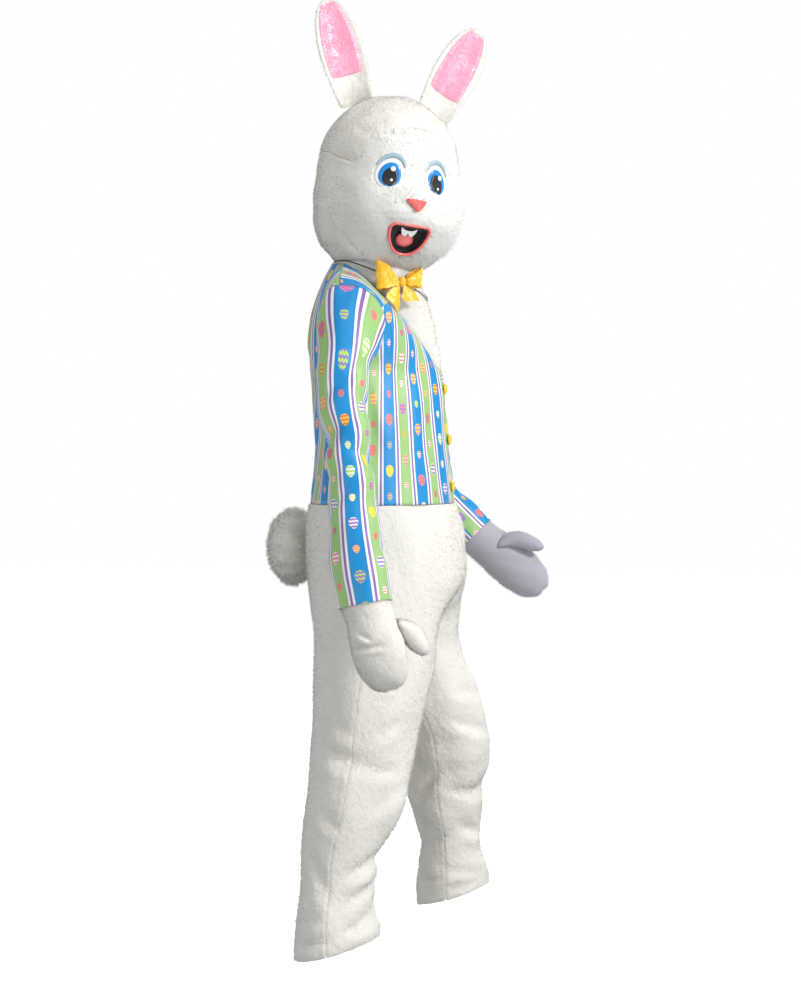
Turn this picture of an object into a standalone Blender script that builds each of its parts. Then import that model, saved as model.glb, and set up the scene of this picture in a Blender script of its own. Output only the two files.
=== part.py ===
"""Easter bunny costume: striped bodice, plush trousers, pompom tail, bow tie, mittens and a furry mask.

Metres, +Z up. The costume faces -Y and the wearer's right hand is at -X. The origin is the base of the
neck, between the shoulders, where the wearer carries the costume. Every cloth piece is a hollow wall.
"""
import math
from types import SimpleNamespace

import bmesh
import bpy
from mathutils import Matrix, Vector

# Cloth and seams
SATIN = 0.0012
PLUSH = 0.003
KNIT = 0.0015
MOULDED = 0.0012
SEAM = 0.0003
LAID = 0.0004

# Heights of the jumpsuit
WAIST_Z = -0.455
CROTCH_TOP_Z = -0.600
CROTCH_Z = -0.770
HEM_Z = -1.302
HEM_SLANT = 0.024

# The head turns toward the wearer's right and tilts a little
MASK_CENTRE = Vector((0.0, -0.014, 0.030))
MASK_TURN = math.radians(-55.5)
MASK_TILT = math.radians(6)
TILT_AXIS = Vector((math.sin(math.radians(78)), math.cos(math.radians(78)), 0.0))
DOME_Z = 0.200
DOME_HEIGHT = 0.145
DOME_RADIUS = 0.146
NECK_BAND_RADIUS = 0.0700
RIM_SEAT_RADIUS = 0.0885
RIM_SEAT_LOW = 0.0025
NECK_BAND_TOP = 0.012

# Colours: (red, green, blue), roughness
COLOURS = {
    "satin_stripe": ((0.05, 0.42, 0.66), 0.45),
    "plush_white": ((0.80, 0.79, 0.74), 0.95),
    "fur_white": ((0.84, 0.83, 0.79), 0.95),
    "knit_grey": ((0.50, 0.48, 0.50), 0.85),
    "satin_yellow": ((0.86, 0.50, 0.02), 0.35),
    "plastic_yellow": ((0.84, 0.56, 0.05), 0.30),
    "satin_pink": ((0.78, 0.28, 0.46), 0.35),
    "coral": ((0.80, 0.14, 0.13), 0.45),
    "black": ((0.01, 0.01, 0.01), 0.50),
    "eye_white": ((0.85, 0.85, 0.85), 0.35),
    "eye_blue": ((0.01, 0.24, 0.68), 0.35),
    "lid_grey": ((0.36, 0.50, 0.56), 0.50),
}


class Table:
    """Rows of named columns. at(t) reads every column smoothly along the first one."""

    def __init__(self, names, *rows):
        self.names = names.split()
        self.rows = sorted(rows)

    def slope(self, i, c):
        low = self.rows[max(i - 1, 0)]
        high = self.rows[min(i + 1, len(self.rows) - 1)]
        return (high[c] - low[c]) / (high[0] - low[0])

    def at(self, t):
        rows = self.rows
        t = min(max(t, rows[0][0]), rows[-1][0])
        i = 0
        while i < len(rows) - 2 and rows[i + 1][0] <= t:
            i += 1
        step = rows[i + 1][0] - rows[i][0]
        k = (t - rows[i][0]) / step
        values = []
        for c in range(len(self.names)):
            start = rows[i][c]
            end = rows[i + 1][c]
            rise = self.slope(i, c) * step
            fall = self.slope(i + 1, c) * step
            values.append(
                start * (1 + 2 * k) * (1 - k) ** 2 + rise * k * (1 - k) ** 2
                + end * k * k * (3 - 2 * k) - fall * k * k * (1 - k)
            )
        return SimpleNamespace(**dict(zip(self.names, values)))


class Curve:
    """A smooth line through points (x, y, z), read from 0 to 1 along its length."""

    def __init__(self, *points):
        self.points = [Vector(p) for p in points]
        lengths = [0.0]
        for a, b in zip(self.points, self.points[1:]):
            lengths.append(lengths[-1] + (b - a).length)
        rows = [(s / lengths[-1], *p) for s, p in zip(lengths, self.points)]
        self.table = Table("t x y z", *rows)

    def at(self, t):
        row = self.table.at(t)
        return Vector((row.x, row.y, row.z))


def ease(low, high, value):
    """0 below low, 1 above high and a smooth step between them."""
    k = min(max((value - low) / (high - low), 0.0), 1.0)
    return k * k * (3 - 2 * k)


def steps(count, low=0.0, high=1.0):
    """Evenly spaced values from low to high."""
    return [low + (high - low) * i / count for i in range(count + 1)]


def mirrored(point):
    return Vector((-point.x, point.y, point.z))


# Scene, materials and meshes
def clear_scene():
    for item in list(bpy.data.objects):
        bpy.data.objects.remove(item, do_unlink=True)


def make_collection(name):
    collection = bpy.data.collections.new(name)
    bpy.context.scene.collection.children.link(collection)
    return collection


def material(name):
    """The material of that name, made once."""
    found = bpy.data.materials.get(name)
    if found:
        return found
    colour, roughness = COLOURS[name]
    made = bpy.data.materials.new(name)
    made.use_nodes = True
    shader = made.node_tree.nodes["Principled BSDF"]
    shader.inputs["Base Color"].default_value = (*colour, 1.0)
    shader.inputs["Roughness"].default_value = roughness
    made.diffuse_color = (*colour, 1.0)
    return made


def finish(name, bm, material_name, collection):
    """One object from a bmesh, with its faces turned out."""
    bmesh.ops.recalc_face_normals(bm, faces=bm.faces[:])
    mesh = bpy.data.meshes.new(name)
    bm.to_mesh(mesh)
    bm.free()
    mesh.shade_smooth()
    mesh.set_sharp_from_angle(angle=math.radians(40))
    mesh.materials.append(material(material_name))
    made = bpy.data.objects.new(name, mesh)
    collection.objects.link(made)
    return made


def edge_shift(surface, u, v, du, dv, distance):
    """How far a parameter moves for that distance on the surface."""
    length = (surface(u + du, v + dv) - surface(u, v)).length
    return distance / max(length, 1e-9)


def pulled(surface, us, vs, i, j, pulls):
    """The grid parameters of one point, with the panel's edges pulled in from its seams."""
    u = us[i]
    v = vs[j]
    small = 0.002
    left, right, low, high = pulls
    if i == 0 and left:
        u += small * edge_shift(surface, u, v, small, 0, left)
    if i == len(us) - 1 and right:
        u -= small * edge_shift(surface, u, v, -small, 0, right)
    if j == 0 and low:
        v += small * edge_shift(surface, u, v, 0, small, low)
    if j == len(vs) - 1 and high:
        v -= small * edge_shift(surface, u, v, 0, -small, high)
    return u, v


def outward_normal(surface, inward, u, v):
    """The surface's normal on the side away from the hollow."""
    small = 0.01
    across = surface(u + small, v) - surface(u - small, v)
    up = surface(u, v + small) - surface(u, v - small)
    normal = across.cross(up).normalized()
    return normal if normal.dot(inward(surface(u, v))) < 0 else -normal


def wall(name, surface, inward, us, vs, thickness, material_name, collection,
         pulls=(SEAM / 2,) * 4, ring=False, tip=None):
    """A cloth wall lofted through surface(u, v); inward(point) points to the hollow side.

    ring joins the last column to the first. tip closes the last row over that point.
    """
    bm = bmesh.new()
    columns = len(us) - 1 if ring else len(us)
    layers = ([], [])
    for j in range(len(vs)):
        rows = ([], [])
        for i in range(columns):
            edge = (0.0 if ring else pulls[0], 0.0 if ring else pulls[1], pulls[2], pulls[3])
            u, v = pulled(surface, us, vs, i, j, edge)
            outer = surface(u, v)
            rows[0].append(bm.verts.new(outer))
            rows[1].append(bm.verts.new(outer + inward(outer) * thickness))
        layers[0].append(rows[0])
        layers[1].append(rows[1])
    spans = [(i, (i + 1) % columns) for i in range(columns if ring else columns - 1)]
    for layer in layers:
        for low, high in zip(layer, layer[1:]):
            for a, b in spans:
                bm.faces.new((low[a], low[b], high[b], high[a]))
    ends = [0] if tip is not None else [0, -1]
    for end in ends:
        outer_row = layers[0][end]
        inner_row = layers[1][end]
        for a, b in spans:
            bm.faces.new((outer_row[a], outer_row[b], inner_row[b], inner_row[a]))
    if tip is not None:
        for layer, top in zip(layers, (tip, tip + inward(tip) * thickness)):
            centre = bm.verts.new(top)
            for a, b in spans:
                bm.faces.new((layer[-1][a], layer[-1][b], centre))
    if not ring:
        for side in (0, -1):
            for low_out, high_out, low_in, high_in in zip(
                    layers[0], layers[0][1:], layers[1], layers[1][1:]):
                bm.faces.new((low_out[side], high_out[side], high_in[side], low_in[side]))
    return finish(name, bm, material_name, collection)


# Bodice: four panels between the waist ring, the sides, the armholes, the shoulders and the neckline
HIP = Table(
    "z half_width half_depth centre_y",
    (-0.455, 0.200, 0.145, -0.024),
    (-0.475, 0.213, 0.153, -0.027),
    (-0.510, 0.222, 0.157, -0.029),
    (-0.572, 0.233, 0.160, -0.030),
    (-0.654, 0.244, 0.163, -0.034),
    (-0.770, 0.250, 0.160, -0.035),
)
CENTRE_FRONT = Curve(
    (0.0, -0.169, -0.455), (0.0, -0.165, -0.420), (0.0, -0.158, -0.325),
    (0.0, -0.150, -0.235), (0.0, -0.145, -0.190),
)
V_EDGE = Curve(
    (0.0, -0.145, -0.190), (-0.038, -0.109, -0.128), (-0.062, -0.068, -0.072),
    (-0.076, -0.036, -0.036), (-0.085, 0.002, 0.006), (-0.085, 0.038, 0.028),
)
CENTRE_BACK = Curve(
    (0.0, 0.121, -0.455), (0.0, 0.115, -0.355), (0.0, 0.121, -0.270),
    (0.0, 0.129, -0.190),
)
UPPER_BACK = Curve(
    (0.0, 0.129, -0.190), (0.0, 0.132, -0.130), (0.0, 0.122, -0.065), (0.0, 0.085, 0.030),
)
BACK_NECK = Curve((0.0, 0.085, 0.030), (-0.045, 0.073, 0.031), (-0.085, 0.038, 0.028))
SHOULDER = Curve((-0.085, 0.038, 0.028), (-0.150, 0.031, 0.003), (-0.200, 0.020, -0.026))
SIDE = Curve(
    (-0.200, -0.024, -0.455), (-0.198, -0.020, -0.360), (-0.193, -0.012, -0.270),
    (-0.182, -0.005, -0.190),
)
ARMHOLE_FRONT = Curve(
    (-0.182, -0.005, -0.190), (-0.173, -0.048, -0.158), (-0.172, -0.067, -0.105),
    (-0.184, -0.054, -0.057), (-0.196, -0.020, -0.031), (-0.200, 0.020, -0.026),
)
ARMHOLE_BACK = Curve(
    (-0.182, -0.005, -0.190), (-0.172, 0.040, -0.158), (-0.170, 0.062, -0.105),
    (-0.181, 0.060, -0.060), (-0.194, 0.044, -0.034), (-0.200, 0.020, -0.026),
)
LOW_ROWS = 5
HIGH_ROWS = 6
FRONT_COLUMNS = 7
NECK_COLUMNS = 4
SPLIT = LOW_ROWS / (LOW_ROWS + HIGH_ROWS)
BACK_SPLIT = NECK_COLUMNS / (NECK_COLUMNS + FRONT_COLUMNS)

# Soft folds: place (u, v), direction in degrees, half length and half width in u and v, depth
FRONT_FOLDS = (
    (0.80, 0.66, 68, 0.30, 0.070, 0.007),
    (0.55, 0.30, 84, 0.30, 0.070, 0.005),
    (0.88, 0.22, 96, 0.26, 0.070, 0.006),
    (0.25, 0.16, 86, 0.18, 0.060, 0.004),
)
BACK_FOLDS = (
    (0.86, 0.58, 72, 0.30, 0.060, 0.007),
    (0.45, 0.30, 92, 0.34, 0.060, 0.006),
    (0.70, 0.15, 86, 0.22, 0.050, 0.005),
    (0.18, 0.12, 94, 0.20, 0.050, 0.004),
)


def fold_depth(folds, u, v):
    """Depth of the soft troughs at that place on a panel, without its very edges."""
    total = 0.0
    for place_u, place_v, degrees, length, width, depth in folds:
        turn = math.radians(degrees)
        across_u = u - place_u
        across_v = v - place_v
        along = across_u * math.cos(turn) + across_v * math.sin(turn)
        beside = -across_u * math.sin(turn) + across_v * math.cos(turn)
        total += depth * math.exp(-(along / length) ** 2 - (beside / width) ** 2)
    fade = math.sin(math.pi * min(max(u, 0.0), 1.0)) * math.sin(math.pi * min(max(v, 0.0), 1.0))
    return total * min(1.0, 2.5 * max(fade, 0.0))


def joined(first, second, split, t):
    """Two curves end to end, the first from 0 to split."""
    if t <= split:
        return first.at(t / split)
    return second.at((t - split) / (1 - split))


def waist_point(u, front):
    """The right half of the waist ring, from the centre line (0) to the side (1)."""
    row = HIP.at(WAIST_Z)
    turn = u * math.pi / 2
    way = -1 if front else 1
    return Vector((
        -row.half_width * math.sin(turn),
        row.centre_y + way * row.half_depth * math.cos(turn),
        WAIST_Z,
    ))


def patch(bottom, top, inner, outer, u, v):
    """A Coons patch between four edge curves."""
    ruled_v = inner(v) * (1 - u) + outer(v) * u
    ruled_u = bottom(u) * (1 - v) + top(u) * v
    corners = (
        (bottom(0) * (1 - u) + bottom(1) * u) * (1 - v)
        + (top(0) * (1 - u) + top(1) * u) * v
    )
    return ruled_v + ruled_u - corners


def torso_inward(point):
    """From the bodice's cloth toward the middle of the chest, kept on the point's own side."""
    row = HIP.at(WAIST_Z)
    rise = ease(-0.170, 0.030, point.z)
    aim = Vector((
        point.x * (0.25 + 0.55 * rise),
        row.centre_y + 0.020 + 0.020 * rise,
        point.z - 0.010 - 0.110 * rise,
    ))
    return (aim - point).normalized()


def front_point(u, v):
    """The right front, u from the centre line and the V edge to the side and the armhole."""
    base = patch(
        lambda s: waist_point(s, True),
        lambda s: SHOULDER.at(s),
        lambda t: joined(CENTRE_FRONT, V_EDGE, SPLIT, t),
        lambda t: joined(SIDE, ARMHOLE_FRONT, SPLIT, t),
        u, v,
    )
    return base + torso_inward(base) * fold_depth(FRONT_FOLDS, u, v)


def back_point(u, v):
    """The right back, u from the centre line to the side and the armhole."""
    base = patch(
        lambda s: waist_point(s, False),
        lambda s: joined(BACK_NECK, SHOULDER, BACK_SPLIT, s),
        lambda t: joined(CENTRE_BACK, UPPER_BACK, SPLIT, t),
        lambda t: joined(SIDE, ARMHOLE_BACK, SPLIT, t),
        u, v,
    )
    return base + torso_inward(base) * fold_depth(BACK_FOLDS, u, v)


def left_of(function):
    """The same panel on the wearer's left."""
    return lambda u, v: mirrored(function(u, v))


def panel_rows():
    return steps(LOW_ROWS, 0.0, SPLIT)[:-1] + steps(HIGH_ROWS, SPLIT, 1.0)


def make_bodice(collection):
    rows = panel_rows()
    front_columns = steps(FRONT_COLUMNS)
    back_columns = (
        steps(NECK_COLUMNS, 0.0, BACK_SPLIT)[:-1] + steps(FRONT_COLUMNS, BACK_SPLIT, 1.0)
    )
    for side, place in (("r", lambda f: f), ("l", left_of)):
        wall("bodice_front_" + side, place(front_point), torso_inward, front_columns, rows,
             SATIN, "satin_stripe", collection)
        wall("bodice_back_" + side, place(back_point), torso_inward, back_columns, rows,
             SATIN, "satin_stripe", collection)


# Chest inset: from the neckline up to the band round the neck
INSET_BULGE = 0.017
INSET_ROWS = (0.0, 0.19, 0.38, 0.57, 0.75, 1.0)
INSET_EDGE = 0.0010
BAND_START = 0.75


def mask_matrix():
    turn = Matrix.Rotation(MASK_TURN, 4, "Z")
    tilt = Matrix.Rotation(MASK_TILT, 4, TILT_AXIS)
    return Matrix.Translation(MASK_CENTRE) @ tilt @ turn


def neckline_point(u):
    """The whole neckline: right V edge, right back, left back and left V edge, a quarter each."""
    side = u if u <= 0.5 else 1.0 - u
    if side <= 0.30:
        point = V_EDGE.at(side / 0.30)
    else:
        point = BACK_NECK.at(1.0 - (side - 0.30) / 0.20)
    return point if u <= 0.5 else mirrored(point)


def inset_point(u, v):
    """u runs round the neckline and v up to the neck band."""
    low = neckline_point(u % 1.0)
    middle = MASK_CENTRE
    around = math.atan2(low.x - middle.x, -(low.y - middle.y))
    front = math.exp(-((min(u, 1 - u)) / 0.15) ** 2)
    rise = max(v - BAND_START, 0.0) / (1 - BAND_START)
    seat = RIM_SEAT_RADIUS + (NECK_BAND_RADIUS - RIM_SEAT_RADIUS) * max(front, rise)
    height = -RIM_SEAT_LOW * (1 + 2 * front) * (1 - rise) + NECK_BAND_TOP * rise
    turned = around - MASK_TURN
    high = mask_matrix() @ Vector((seat * math.sin(turned), -seat * math.cos(turned), height))
    near = min(v / BAND_START, 1.0)
    out = Vector((0.0, -0.8, 0.6)) * INSET_BULGE * front * math.sin(math.pi * near)
    return low.lerp(high, near) + out


def inset_inward(point):
    rise = ease(-0.100, 0.030, point.z)
    aim = Vector((0.0, 0.010 - 0.020 * rise, point.z - 0.080 * (1 - rise)))
    return (aim - point).normalized()


def inset_columns():
    front = steps(HIGH_ROWS, 0.0, 0.30)[:-1]
    back = steps(NECK_COLUMNS, 0.30, 0.50)
    half = front + back
    return half + [1.0 - u for u in reversed(half[:-1])]


def make_inset(collection):
    wall("chest_inset", inset_point, inset_inward, inset_columns(), INSET_ROWS,
         PLUSH, "plush_white", collection, pulls=(0, 0, INSET_EDGE, 0), ring=True)


# Sleeves: from the armhole loop through rings round a path
RIGHT_SLEEVE = Table(
    "t x y z half_in half_front",
    (0.00, -0.186, -0.003, -0.105, 0.050, 0.060),
    (0.16, -0.247, -0.003, -0.170, 0.046, 0.051),
    (0.25, -0.263, -0.001, -0.233, 0.047, 0.050),
    (0.38, -0.277, -0.014, -0.304, 0.043, 0.045),
    (0.50, -0.288, -0.024, -0.366, 0.042, 0.043),
    (0.62, -0.298, -0.031, -0.430, 0.043, 0.046),
    (0.75, -0.307, -0.037, -0.497, 0.045, 0.049),
    (0.87, -0.315, -0.047, -0.562, 0.047, 0.054),
    (1.00, -0.323, -0.062, -0.636, 0.048, 0.052),
)
LEFT_SLEEVE = Table(
    "t x y z half_in half_front",
    (0.00, 0.186, -0.003, -0.105, 0.050, 0.060),
    (0.16, 0.247, 0.006, -0.168, 0.046, 0.051),
    (0.29, 0.276, 0.018, -0.235, 0.047, 0.049),
    (0.42, 0.298, 0.024, -0.300, 0.046, 0.046),
    (0.54, 0.311, 0.006, -0.357, 0.045, 0.046),
    (0.66, 0.319, -0.034, -0.407, 0.045, 0.046),
    (0.83, 0.325, -0.096, -0.470, 0.046, 0.048),
    (1.00, 0.330, -0.160, -0.535, 0.046, 0.048),
)
# Sleeve folds: place along, place around in degrees, half length, half width, turn, depth
SLEEVE_FOLDS = (
    (0.22, 150, 70, 0.030, 0.10, 0.007),
    (0.33, 60, 80, 0.028, -0.08, 0.006),
    (0.43, 250, 90, 0.026, 0.05, 0.007),
    (0.50, 110, 80, 0.026, -0.05, 0.006),
    (0.64, 200, 70, 0.030, 0.12, 0.004),
    (0.84, 80, 60, 0.034, -0.12, 0.004),
)
SLEEVE_COLUMNS = 2 * HIGH_ROWS
SLEEVE_ROWS = 17


def sleeve_fold(t, degrees):
    total = 0.0
    for place, around, length, width, turn, depth in SLEEVE_FOLDS:
        apart = (degrees - around + 180) % 360 - 180
        beside = t - place - turn * apart / 100
        total += depth * math.exp(-(apart / length) ** 2 - (beside / width) ** 2)
    return total * ease(0.0, 0.12, t) * ease(1.0, 0.93, t)


def sleeve_frame(table, side, t):
    """Centre, direction, way toward the body and way to the front at t along the sleeve."""
    row = table.at(t)
    centre = Vector((row.x, row.y, row.z))
    small = 0.02
    a = table.at(max(t - small, 0.0))
    b = table.at(min(t + small, 1.0))
    along = Vector((b.x - a.x, b.y - a.y, b.z - a.z)).normalized()
    body = Vector((-side, 0.0, 0.0))
    body = (body - along * body.dot(along)).normalized()
    front = along.cross(body) * -side
    return row, centre, along, body, front


def armhole_point(side, around):
    """The armhole loop, 0 at the armpit, a half turn at the shoulder tip, front first."""
    around = around % 1.0
    if around <= 0.5:
        point = ARMHOLE_FRONT.at(around * 2)
    else:
        point = ARMHOLE_BACK.at((1.0 - around) * 2)
    return point if side < 0 else mirrored(point)


def sleeve_surface(table, side):
    cap = 0.012

    def surface(u, v):
        row, centre, along, body, front = sleeve_frame(table, side, v)
        turn = 2 * math.pi * u
        depth = sleeve_fold(v, math.degrees(turn))
        ring = (
            centre
            + body * (row.half_in - depth) * math.cos(turn)
            + front * (row.half_front - depth) * math.sin(turn)
        )
        k = ease(0.0, 0.20, v)
        loop = armhole_point(side, u) + along * v * 0.55
        crown = Vector((side, 0.0, 0.0)) * cap * math.sin(math.pi * k) * (1 - math.cos(turn)) / 2
        return loop * (1 - k) + ring * k + crown

    return surface


def sleeve_inward(table, side):
    centres = [Vector((r.x, r.y, r.z)) for r in (table.at(t) for t in steps(40))]

    def inward(point):
        aim = min(centres, key=lambda c: (c - point).length)
        return (aim - point).normalized()

    return inward


def make_sleeves(collection):
    columns = steps(SLEEVE_COLUMNS)
    rows = [0.0, 0.035, 0.08, 0.13] + steps(SLEEVE_ROWS - 4, 0.18, 1.0)
    for name, table, side in (("sleeve_r", RIGHT_SLEEVE, -1), ("sleeve_l", LEFT_SLEEVE, 1)):
        wall(name, sleeve_surface(table, side), sleeve_inward(table, side), columns, rows,
             SATIN, "satin_stripe", collection, ring=True)


# Trousers: front and back panels of each leg, joined along the centre, the crotch and the inseams
RIGHT_LEG = Table(
    "z out centre_y half_width half_depth",
    (-0.770, 0.1190, -0.035, 0.118, 0.125),
    (-0.840, 0.1380, -0.028, 0.114, 0.112),
    (-0.912, 0.1530, -0.019, 0.106, 0.106),
    (-1.020, 0.1780, -0.009, 0.100, 0.102),
    (-1.083, 0.1920, 0.005, 0.091, 0.090),
    (-1.121, 0.2000, 0.017, 0.083, 0.079),
    (-1.177, 0.2100, 0.016, 0.083, 0.081),
    (-1.223, 0.2170, 0.022, 0.080, 0.075),
    (-1.278, 0.2240, 0.018, 0.085, 0.085),
    (-1.330, 0.2290, 0.018, 0.082, 0.082),
)
LEFT_LEG = Table(
    "z out centre_y half_width half_depth",
    (-0.770, 0.1190, -0.035, 0.118, 0.125),
    (-0.853, 0.1400, -0.082, 0.114, 0.118),
    (-0.918, 0.1550, -0.108, 0.106, 0.109),
    (-1.006, 0.1760, -0.121, 0.100, 0.097),
    (-1.057, 0.1870, -0.115, 0.092, 0.084),
    (-1.116, 0.2000, -0.122, 0.086, 0.080),
    (-1.194, 0.2130, -0.126, 0.078, 0.066),
    (-1.232, 0.2190, -0.126, 0.080, 0.075),
    (-1.272, 0.2240, -0.128, 0.084, 0.081),
    (-1.330, 0.2290, -0.124, 0.080, 0.077),
)
# Leg folds: height, place around in degrees from the inner front, half length, half width,
# drop in z for each 100 degrees, depth
RIGHT_LEG_FOLDS = (
    (-0.930, 150, 70, 0.020, -0.030, 0.009),
    (-0.990, 100, 60, 0.018, 0.040, 0.008),
    (-1.130, 60, 80, 0.018, -0.030, 0.011),
    (-1.180, 170, 70, 0.018, 0.045, 0.009),
    (-1.215, 70, 60, 0.014, -0.020, 0.008),
    (-1.245, 140, 60, 0.014, 0.030, 0.007),
    (-0.860, 300, 60, 0.024, 0.040, 0.008),
    (-1.010, 280, 70, 0.020, -0.040, 0.009),
    (-1.160, 300, 80, 0.018, 0.030, 0.009),
)
LEFT_LEG_FOLDS = (
    (-0.900, 60, 80, 0.024, 0.050, 0.009),
    (-0.975, 330, 80, 0.020, 0.050, 0.010),
    (-1.040, 40, 90, 0.018, -0.040, 0.011),
    (-1.150, 60, 90, 0.020, 0.040, 0.010),
    (-1.210, 80, 80, 0.016, -0.030, 0.010),
    (-1.190, 230, 80, 0.018, 0.030, 0.009),
    (-1.000, 190, 70, 0.022, -0.040, 0.008),
)
LEG_COLUMNS = 8
LEG_ROWS = 21


def leg_fold(folds, z, degrees):
    total = 0.0
    for height, around, length, width, drop, depth in folds:
        apart = (degrees - around + 180) % 360 - 180
        beside = z - height - drop * apart / 100
        total += depth * math.exp(-(apart / length) ** 2 - (beside / width) ** 2)
    return total * ease(-0.80, -0.88, z) * ease(-1.300, -1.250, z)


def leg_point(table, folds, side, u, v, front):
    """u from the inner edge (0) to the side seam (1); v from the waist to the hem."""
    z = WAIST_Z + (HEM_Z - WAIST_Z) * v
    way = -1 if front else 1
    blend = ease(CROTCH_TOP_Z, CROTCH_Z, z)
    hip = HIP.at(z)
    leg = table.at(min(z, CROTCH_Z))
    turn = math.pi * u
    degrees = math.degrees(turn) if front else 360 - math.degrees(turn)
    depth = leg_fold(folds, z, degrees)
    hip_x = hip.half_width * math.sin(turn / 2)
    hip_y = hip.centre_y + way * hip.half_depth * math.cos(turn / 2)
    leg_x = leg.out - (leg.half_width - depth) * math.cos(turn)
    leg_y = leg.centre_y + way * (leg.half_depth - depth) * math.sin(turn)
    slant = HEM_SLANT * ease(-1.15, HEM_Z, z) * -way * math.sin(turn)
    return Vector((
        side * (hip_x * (1 - blend) + leg_x * blend),
        hip_y * (1 - blend) + leg_y * blend,
        z + slant,
    ))


def leg_inward(table, side):
    def inward(point):
        z = max(min(point.z, WAIST_Z), HEM_Z)
        blend = ease(CROTCH_TOP_Z, CROTCH_Z, z)
        hip = HIP.at(z)
        leg = table.at(min(z, CROTCH_Z))
        aim = Vector((
            side * leg.out * blend * 0.9,
            hip.centre_y * (1 - blend) + leg.centre_y * blend,
            point.z,
        ))
        return (aim - point).normalized()

    return inward


def make_trousers(collection):
    legs = (("r", RIGHT_LEG, RIGHT_LEG_FOLDS, -1), ("l", LEFT_LEG, LEFT_LEG_FOLDS, 1))
    columns = steps(LEG_COLUMNS)
    rows = steps(LEG_ROWS)
    for letter, table, folds, side in legs:
        for part, front in (("front", True), ("back", False)):
            def surface(u, v, table=table, folds=folds, side=side, front=front):
                return leg_point(table, folds, side, u, v, front)

            wall("trouser_" + part + "_" + letter, surface, leg_inward(table, side),
                 columns, rows, PLUSH, "plush_white", collection)


# Tail: a stuffed plush ball gathered onto the seat
TAIL_Z = -0.545
TAIL_Y = 0.166
TAIL_RADIUS = 0.074
TAIL_DEPTH = 0.048
TAIL_LOBES = 7


def make_tail(collection):
    bm = bmesh.new()
    bmesh.ops.create_uvsphere(bm, u_segments=18, v_segments=12, radius=1.0)
    for vert in bm.verts:
        unit = vert.co.copy()
        around = math.atan2(unit.z, unit.x)
        lobe = 1 + 0.035 * math.sin(TAIL_LOBES * around) * math.hypot(unit.x, unit.z)
        x = unit.x * TAIL_RADIUS * lobe
        z = TAIL_Z + unit.z * TAIL_RADIUS * lobe
        y = TAIL_Y + unit.y * TAIL_DEPTH
        hip = HIP.at(z)
        seat = hip.centre_y + hip.half_depth * math.sqrt(max(1 - (x / hip.half_width) ** 2, 0.0))
        vert.co = Vector((x, max(y, seat + 2 * SEAM), z))
    finish("tail", bm, "fur_white", collection)


# Buttons down the centre front
BUTTON_HEIGHTS = (-0.223, -0.325, -0.420)
BUTTON_RADIUS = 0.0115
BUTTON_DEPTH = 0.0048
BUTTON_RIM = 0.0016


def make_buttons(collection):
    for number, height in enumerate(BUTTON_HEIGHTS, start=1):
        bm = bmesh.new()
        rings = (
            (BUTTON_RADIUS * 0.86, 0.0), (BUTTON_RADIUS, 0.0012), (BUTTON_RADIUS, 0.0034),
            (BUTTON_RADIUS * 0.88, BUTTON_DEPTH), (BUTTON_RADIUS * 0.66, BUTTON_DEPTH - BUTTON_RIM),
        )
        sides = 14
        loops = []
        for radius, out in rings:
            loop = []
            for i in range(sides):
                turn = 2 * math.pi * i / sides
                loop.append(bm.verts.new((radius * math.cos(turn), -out, radius * math.sin(turn))))
            loops.append(loop)
        for low, high in zip(loops, loops[1:]):
            for i in range(sides):
                j = (i + 1) % sides
                bm.faces.new((low[i], low[j], high[j], high[i]))
        bm.faces.new(loops[0])
        bm.faces.new(loops[-1])
        made = finish("button_%d" % number, bm, "plastic_yellow", collection)
        line = [CENTRE_FRONT.at(t) for t in steps(80)]
        seat = min(p.y for p in line if abs(p.z - height) < BUTTON_RADIUS)
        made.location = (0.0, seat - 2 * SEAM, height)


# Mittens: a back and a palm joined along the edge, with a thumb on the front edge
MITTEN = Table(
    "t half_width half_depth",
    (0.00, 0.0400, 0.0330),
    (0.20, 0.0455, 0.0330),
    (0.45, 0.0500, 0.0345),
    (0.70, 0.0480, 0.0310),
    (0.86, 0.0390, 0.0240),
    (0.95, 0.0260, 0.0150),
    (0.99, 0.0110, 0.0060),
)
THUMB = Table(
    "t half_width half_depth",
    (0.00, 0.0210, 0.0190),
    (0.35, 0.0185, 0.0170),
    (0.70, 0.0150, 0.0140),
    (0.90, 0.0090, 0.0085),
    (0.97, 0.0040, 0.0040),
)
# Each hand: wrist, tip, way that the palm faces, thumb root and thumb tip, curl toward the palm
RIGHT_HAND = SimpleNamespace(
    letter="r", sleeve=RIGHT_SLEEVE, side=-1,
    wrist=Vector((-0.326, -0.067, -0.6365)), tip=Vector((-0.338, -0.112, -0.792)),
    palm=Vector((1.0, 0.0, 0.0)), thumb_root=Vector((-0.320, -0.132, -0.668)),
    thumb_tip=Vector((-0.318, -0.176, -0.722)), curl=0.020,
)
LEFT_HAND = SimpleNamespace(
    letter="l", sleeve=LEFT_SLEEVE, side=1,
    wrist=Vector((0.331, -0.1665, -0.5390)), tip=Vector((0.338, -0.312, -0.655)),
    palm=Vector((-1.0, 0.0, 0.05)), thumb_root=Vector((0.322, -0.236, -0.536)),
    thumb_tip=Vector((0.312, -0.312, -0.560)), curl=0.006,
)
WRIST_INSET = 0.0021
WRIST_PLACE = 0.985
WRIST_BLEND = 0.17
MITTEN_COLUMNS = 8
MITTEN_ROWS = 8


def hand_frame(hand):
    along = (hand.tip - hand.wrist).normalized()
    palm = (hand.palm - along * hand.palm.dot(along)).normalized()
    thumb_side = along.cross(palm)
    if thumb_side.dot(hand.thumb_root - hand.wrist) < 0:
        thumb_side = -thumb_side
    return along, palm, thumb_side


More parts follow.
